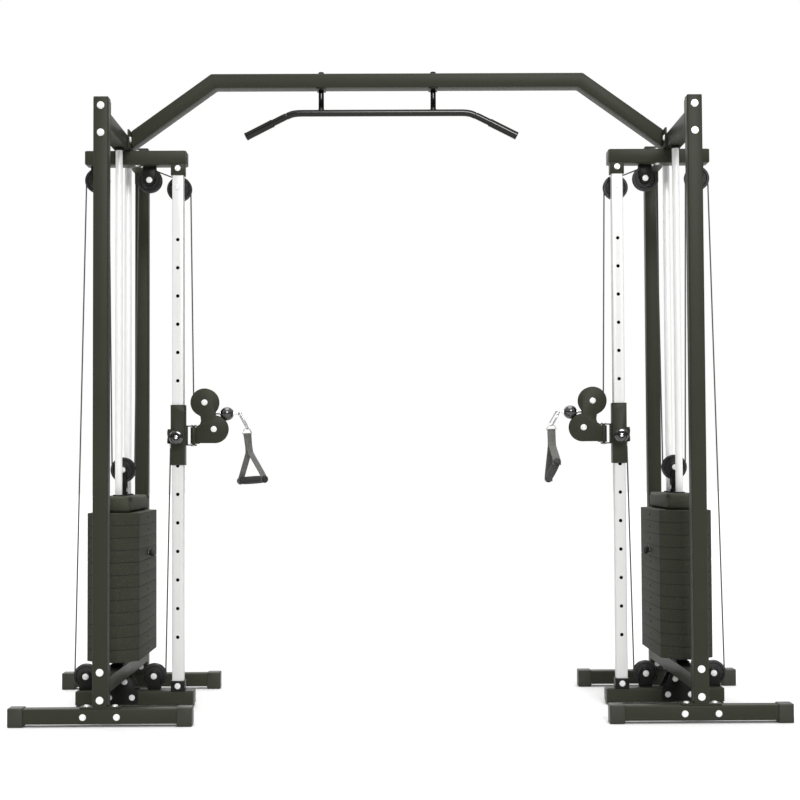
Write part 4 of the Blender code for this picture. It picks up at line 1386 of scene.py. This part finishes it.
def ring(side, place, turn_z, body):
    """The steel D ring between the hook and the strap."""
    half = 0.0155
    points = [Vector((0, y, -0.0180)) for y in (-half, -half / 2, 0, half / 2, half)]
    points += [Vector((0, half + 0.0012, -0.0150))]
    for angle in range(10, 171, 20):
        a = math.radians(angle)
        points.append(Vector((0, math.cos(a) * half, -0.0120 + math.sin(a) * 0.0170)))
    points += [Vector((0, -half - 0.0012, -0.0150))]
    shape = Shape().tube([place @ (turn_z @ point) for point in points], 0.0019, closed=True)
    shape.made(side.name("handle_ring"), "hook", body, "chrome")


def grip(side, place, node, body, half, drop):
    """The moulded grip and its end washers."""
    bm = bmesh.new()
    layer = bm.loops.layers.uv.new("cloth")
    steps, radius = 48, 0.0140
    length = half - 0.0035
    rows = []
    for share in [-1.0, -0.985, -0.95] + [i / 12 for i in range(-11, 12)] + [0.95, 0.985, 1.0]:
        swell = radius - 0.0012 * abs(share) ** 4 - (0.0022 if abs(share) == 1.0 else 0.0)
        swell -= 0.0006 * (1 - math.cos(share * math.pi)) / 2
        ring = []
        for step in range(steps):
            angle = 2 * math.pi * step / steps
            spot = Vector((share * length, math.cos(angle) * swell, math.sin(angle) * swell - drop))
            ring.append((bm.verts.new(spot), angle * radius, share * length))
        rows.append(ring)
    for first, second in zip(rows, rows[1:]):
        for index in range(steps):
            after = (index + 1) % steps
            face = bm.faces.new((first[index][0], first[after][0], second[after][0], second[index][0]))
            around_it = 2 * math.pi * radius if after == 0 else 0.0
            for loop, corner, extra in zip(
                face.loops,
                (first[index], first[after], second[after], second[index]),
                (0.0, around_it, around_it, 0.0),
            ):
                loop[layer].uv = (corner[1] + extra, corner[2])
    for ring in (rows[0], rows[-1]):
        bm.faces.new([corner[0] for corner in ring])
    bmesh.ops.recalc_face_normals(bm, faces=bm.faces)
    bm.transform(place)
    mesh = bpy.data.meshes.new(node)
    bm.to_mesh(mesh)
    bm.free()
    placed(f"{node}_grip", mesh, "grip", body, (), 60.0)
    ends = Shape()
    for way in (-1, 1):
        ends.rod((way * (half + 0.0022), 0, -drop), (way * (half + 0.0062), 0, -drop), 0.0135, 40, 0.0012)
        ends.rod((way * (half + 0.0060), 0, -drop), (way * (half + 0.0105), 0, -drop), 0.0115, 40, 0.0018)
    ends.bm.transform(place)
    ends.made(side.name("handle_end_caps"), "rubber", body, "grip_and_webbing")


def stitches(side, place, turn_z, body, width):
    """Box stitching where the straps are sewn together, above the sling."""
    shape = Shape()
    pitch, edge, low, high = 0.0030, width * 0.38, -0.048, -0.027
    corners = {(y, z): Vector((0, y, z)) for y in (-edge, edge) for z in (low, high)}
    rows = [(corners[-edge, z], corners[edge, z]) for z in (low, high)]
    rows += [(corners[y, low], corners[y, high]) for y in (-edge, edge)]
    rows += [(corners[-edge, low], corners[edge, high]), (corners[-edge, high], corners[edge, low])]
    for start, end in rows:
        count = max(1, int((end - start).length / pitch))
        for index in range(count):
            for way in (-1, 1):
                lift = Vector((way * 0.0031, 0, 0))
                a = start.lerp(end, (index + 0.15) / count) + lift
                b = start.lerp(end, (index + 0.85) / count) + lift
                shape.rod(a, b, 0.00035, 6, 0.0)
    shape.bm.transform(place @ turn_z.to_4x4())
    shape.made(side.name("handle_stitches"), "thread", body, "grip_and_webbing")


# --------------------------------------------------------------- pull-up bar
def build_bar(looks):
    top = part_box("pullup_bar")[1].z
    centre_x = -0.057
    half = 0.486
    bend = 0.319
    bar_z, end_z = 2.105, 2.020
    rise = (bar_z - end_z) / (half - bend)
    knee = [
        (half, end_z),
        (bend + 0.034, bar_z - 0.034 * rise),
        (bend + 0.018, bar_z - 0.0105),
        (bend + 0.002, bar_z - 0.0040),
        (bend - 0.016, bar_z - 0.0008),
        (bend - 0.034, bar_z),
    ]
    right = smooth_path([Vector((centre_x + x, 0, z)) for x, z in reversed(knee)], 4)
    left = [Vector((2 * centre_x - point.x, 0, point.z)) for point in reversed(right)]
    bar = Shape().tube(left + right, 0.0125, resolution=8)
    bar.made("pullup_bar_tube", "bar", "frame", "dark_chrome", ["pullup_bar"])
    sleeves, caps = Shape(), Shape()
    slope = Vector((half - bend, 0, end_z - bar_z)).normalized()
    for way in (-1, 1):
        along = Vector((slope.x * way, 0, slope.z))
        tip = Vector((centre_x + way * half, 0, end_z))
        profile = [(0.0127, 0.0), (0.0140, 0.0), (0.0148, 0.0010), (0.0148, 0.0060)]
        profile += [(0.0143, 0.0066), (0.0143, 0.1015), (0.0148, 0.1021), (0.0148, 0.1070)]
        profile += [(0.0140, 0.1080), (0.0127, 0.1080)]
        sleeves.turned(profile, tip - along * 0.1095, along, 40, closed=True)
        cap = [(0.0, 0.0), (0.0149, 0.0), (0.0149, 0.0008), (0.0120, 0.0022), (0.0, 0.0028)]
        caps.turned(cap, tip - along * 0.0024, along, 40)
    sleeves.made("pullup_bar_grips", "bar", "frame", "dark_chrome")
    caps.made("pullup_bar_caps", "plug", "frame", "rubber")
    hangers, pads = Shape(), Shape()
    for x in HANGERS:
        hangers.rod((x, 0, bar_z + 0.006), (x, 0, top - 0.003), 0.0098, 36, 0.0008)
        weld = [(0.0098, 0.0), (0.0112, 0.0), (0.0106, 0.0040), (0.0098, 0.0060)]
        hangers.turned(weld, (x, 0, bar_z + 0.0105), UP, 36, closed=True)
        pads.box(around(x, 0.016), around(0, 0.033), (top - 0.004, top), 0.0010)
    hangers.made("pullup_bar_hangers", "bar", "frame", "dark_chrome")
    pads.made("pullup_bar_pads", "black", "frame", "frame_paint")


# --------------------------------------------------------------------- bolts
def build_bolts(looks):
    spots = []
    for side in towers():
        for way, facing in ((-1, FRONT), (1, BACK)):
            face = way * (UPRIGHT_Y + TUBE / 2)
            inner = way * (UPRIGHT_Y - TUBE / 2 - 0.0053)
            for rail in (BASE_RAIL_Z, TOP_RAIL_Z):
                for offset in (-0.045, 0.045):
                    spots.append((side.at(TOWER, face, rail + offset), facing, 0.0125))
                    spots.append((side.at(TOWER, inner, rail + offset), -facing, 0.0105))
            for offset in (-0.055, 0.055):
                spots.append((side.at(TOWER + offset, face, 0.0315), facing, 0.0110))
            for offset in (-0.046, 0.046):
                spots.append((side.at(TOWER + offset, way * UPRIGHT_Y, 0.0643), UP, 0.0105))
        low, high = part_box(side.name("lower_crossbar"))
        for offset, z in ((-0.040, 0.036), (0.040, 0.036), (-0.014, 0.091), (0.014, 0.091)):
            spots.append((side.at(TOWER + offset, low.y, z), FRONT, 0.0105))
            spots.append((side.at(TOWER + offset, high.y, z), BACK, 0.0105))
        for z in (0.075, 1.899):
            spots.append((side.at(POST_OUT, POST_FRONT - 0.0043, z), FRONT, 0.0105))
        bar_top, bar_under = high_bar(side)
        for offset, y in ((-0.054, -0.034), (-0.070, -0.006)):
            spots.append((side.at(TOWER + offset, y, bar_top), UP, 0.0085))
            spots.append((side.at(TOWER + offset, y, bar_under), -UP, 0.0085))
        for name in ("top_outer", "top_inner", "low_outer", "low_inner"):
            out, z = pulley_at(name)
            spots.append((side.at(out, -0.0165, z), FRONT, 0.0110))
            spots.append((side.at(out, 0.0165, z), BACK, 0.0110))
        out, z = pulley_at("post_top")
        spots.append((side.at(out, POST_FRONT, z), FRONT, 0.0120))
        spots.append((side.at(out, 0.0104, z), BACK, 0.0105))
        inner_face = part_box("overhead_beam")[1].x - 0.0066
        for y in (-0.060, 0.060):
            spots.append((side.at(inner_face, y, 2.0), Vector((-side.sign, 0, 0)), 0.0110))
        arm_spots = []
        for name in ("arm_upper", "arm_lower"):
            out, z = pulley_at(name)
            arm_spots.append((side.at(out, -0.0175, z), FRONT, 0.0110))
            arm_spots.append((side.at(out, 0.0175, z), BACK, 0.0110))
        bolts(side.name("arm_bolts"), side.name("arm"), arm_spots)
    tops = [(Vector((x, 0, beam_top())), UP, 0.0125) for x in HANGERS]
    bolts("beam_bolts", "frame", tops, "black", 1.05)
    bolts("frame_bolts", "frame", spots)


def high_bar(side):
    """The top and the underside of the high crossbar."""
    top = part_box(side.name("upper_crossbar"))[1].z
    return top, top - TUBE


# --------------------------------------------------------------------- stage
def build_stage(looks):
    bm = bmesh.new()
    bmesh.ops.create_grid(bm, x_segments=2, y_segments=2, size=40.0)
    mesh = bpy.data.meshes.new("floor")
    bm.to_mesh(mesh)
    bm.free()
    mesh.transform(Matrix.Translation((0, 0, -0.0005)))
    mesh.materials.append(floor_finish())
    floor = bpy.data.objects.new("floor", mesh)
    bpy.context.scene.collection.objects.link(floor)
    sky_light("front_light", (0.15, -1.0, 0.50), 1.9, 22.0)
    sky_light("top_light", (0.0, -0.05, 1.0), 2.5, 50.0)
    sky_light("back_light", (-0.2, 1.0, 0.7), 0.8, 60.0)
    world = bpy.data.worlds.new("studio")
    world.use_nodes = True
    tree = world.node_tree
    plain = tree.nodes["Background"]
    plain.inputs[0].default_value = (1.0, 1.0, 1.0, 1.0)
    backdrop = tree.nodes.new("ShaderNodeBackground")
    backdrop.inputs[0].default_value = (1.0, 1.0, 1.0, 1.0)
    mix = tree.nodes.new("ShaderNodeMixShader")
    path = tree.nodes.new("ShaderNodeLightPath")
    tree.links.new(path.outputs["Is Camera Ray"], mix.inputs[0])
    place = tree.nodes.new("ShaderNodeTexCoord")
    split = tree.nodes.new("ShaderNodeSeparateXYZ")
    tree.links.new(place.outputs["Generated"], split.inputs[0])
    ceiling = tree.nodes.new("ShaderNodeMapRange")
    ceiling.interpolation_type = "SMOOTHSTEP"
    for socket, value in (("From Min", 0.10), ("From Max", 0.55), ("To Min", 0.16), ("To Max", 1.10)):
        ceiling.inputs[socket].default_value = value
    tree.links.new(split.outputs[2], ceiling.inputs["Value"])
    glow = tree.nodes.new("ShaderNodeMapRange")
    glow.inputs["To Min"].default_value = 0.08
    tree.links.new(ceiling.outputs[0], glow.inputs["To Max"])
    tree.links.new(path.outputs["Is Glossy Ray"], glow.inputs["Value"])
    tree.links.new(glow.outputs[0], plain.inputs[1])
    tree.links.new(plain.outputs[0], mix.inputs[1])
    tree.links.new(backdrop.outputs[0], mix.inputs[2])
    tree.links.new(mix.outputs[0], tree.nodes["World Output"].inputs[0])
    bpy.context.scene.world = world
    bpy.context.scene.view_settings.view_transform = "Standard"
    camera()


def sky_light(name, source, strength, width):
    """A far, broad light that falls evenly over the machine and the floor. Width in degrees."""
    data = bpy.data.lights.new(name, "SUN")
    data.energy = strength
    data.angle = math.radians(width)
    obj = bpy.data.objects.new(name, data)
    obj.rotation_euler = Vector(source).to_track_quat("Z", "Y").to_euler()
    bpy.context.scene.collection.objects.link(obj)


def camera():
    pitch, yaw, roll = 0.03841, 0.00682, -0.00515
    ahead = Vector(
        (math.sin(yaw) * math.cos(pitch), math.cos(yaw) * math.cos(pitch), math.sin(pitch))
    )
    flat_right = Vector((math.cos(yaw), -math.sin(yaw), 0.0))
    flat_up = flat_right.cross(ahead)
    right = flat_right * math.cos(roll) + flat_up * math.sin(roll)
    up = flat_up * math.cos(roll) - flat_right * math.sin(roll)
    data = bpy.data.cameras.new("camera")
    data.lens = 73.43
    data.sensor_width = 36.0
    data.clip_end = 200.0
    obj = bpy.data.objects.new("camera", data)
    obj.rotation_euler = Matrix((right, up, -ahead)).transposed().to_euler()
    obj.location = (-0.0349, -5.8040, 0.8523)
    bpy.context.scene.collection.objects.link(obj)
    bpy.context.scene.camera = obj


# -------------------------------------------------------------------- add-on
class CrossoverLooks(bpy.types.PropertyGroup):
    """Sizes and colours that a user would change."""

    frame_colour: FloatVectorProperty(
        name="Frame colour",
        description="Colour of the powder coat on the frame",
        subtype="COLOR",
        size=3,
        min=0.0,
        max=1.0,
        default=(0.031, 0.033, 0.0225),
    )
    weight_colour: FloatVectorProperty(
        name="Weight colour",
        description="Main colour of the weight plates",
        subtype="COLOR",
        size=3,
        min=0.0,
        max=1.0,
        default=(0.036, 0.038, 0.027),
    )
    webbing_colour: FloatVectorProperty(
        name="Webbing colour",
        description="Colour of the handles' straps",
        subtype="COLOR",
        size=3,
        min=0.0,
        max=1.0,
        default=(0.098, 0.100, 0.090),
    )
    edge_rounding: FloatProperty(
        name="Edge rounding",
        description="Rounding on the edges of cut plates",
        unit="LENGTH",
        default=0.0007,
        min=0.0,
    )
    tube_rounding: FloatProperty(
        name="Tube corner radius",
        description="Outer corner radius of the square tubes",
        unit="LENGTH",
        default=0.0045,
        min=0.0,
    )
    plate_rounding: FloatProperty(
        name="Plate rounding",
        description="Rounding on the edges of the weight plates",
        unit="LENGTH",
        default=0.0019,
        min=0.0,
    )
    webbing_width: FloatProperty(
        name="Webbing width",
        description="Width of the handles' straps",
        unit="LENGTH",
        default=0.028,
        min=0.01,
    )
    bolt_head: FloatProperty(
        name="Bolt head share",
        description="Radius of a bolt's head as a share of its washer's",
        default=0.80,
        min=0.3,
        max=1.0,
    )
    pulley_steps: IntProperty(
        name="Pulley steps", description="Faces round each pulley", default=72, min=12
    )


def step(name, label, note, job):
    """An operator class that runs one building job."""

    def execute(self, context):
        job(context.scene.crossover)
        return {"FINISHED"}

    return type(
        f"CROSSOVER_OT_{name}",
        (bpy.types.Operator,),
        {
            "bl_idname": f"crossover.{name}",
            "bl_label": label,
            "__doc__": note,
            "execute": execute,
        },
    )


STEPS = [
    step("frame", "Frame", "Feet, uprights, rails, crossbars and the overhead beam", build_frame),
    step("posts", "Posts and rods", "Punched posts and guide rods", build_posts),
    step("weights", "Weights", "Weight plates, head plates, stems and pins", build_weights),
    step("pulleys", "Pulleys", "Grooved pulleys and their bearings", build_pulleys),
    step("carriages", "Carriages", "Sleeves, pull pins and swivel arms", build_carriages),
    step("cables", "Cables", "Every length of cable", build_cables),
    step("handles", "Handles", "Stop balls, hooks and strap handles", build_handles),
    step("bar", "Pull-up bar", "The bent bar, its grips and hangers", build_bar),
    step("bolts", "Bolts", "Bolts on the frame and the arms", build_bolts),
    step("stage", "Stage", "Floor, lights and camera", build_stage),
]


class CROSSOVER_PT_panel(bpy.types.Panel):
    """Lists the building steps in the sidebar."""

    bl_label = "Cable crossover machine"
    bl_space_type = "VIEW_3D"
    bl_region_type = "UI"
    bl_category = "Crossover"

    def draw(self, context):
        for entry in CrossoverLooks.__annotations__:
            self.layout.prop(context.scene.crossover, entry)
        for operator in STEPS:
            self.layout.operator(operator.bl_idname)


CLASSES = [CrossoverLooks, *STEPS, CROSSOVER_PT_panel]


def register():
    for item in CLASSES:
        bpy.utils.register_class(item)
    bpy.types.Scene.crossover = PointerProperty(type=CrossoverLooks)


def unregister():
    del bpy.types.Scene.crossover
    for item in reversed(CLASSES):
        bpy.utils.unregister_class(item)


def main():
    register()
    for operator in STEPS:
        name = operator.bl_idname.split(".")[1]
        getattr(bpy.ops.crossover, name)()


if __name__ == "__main__":
    main()
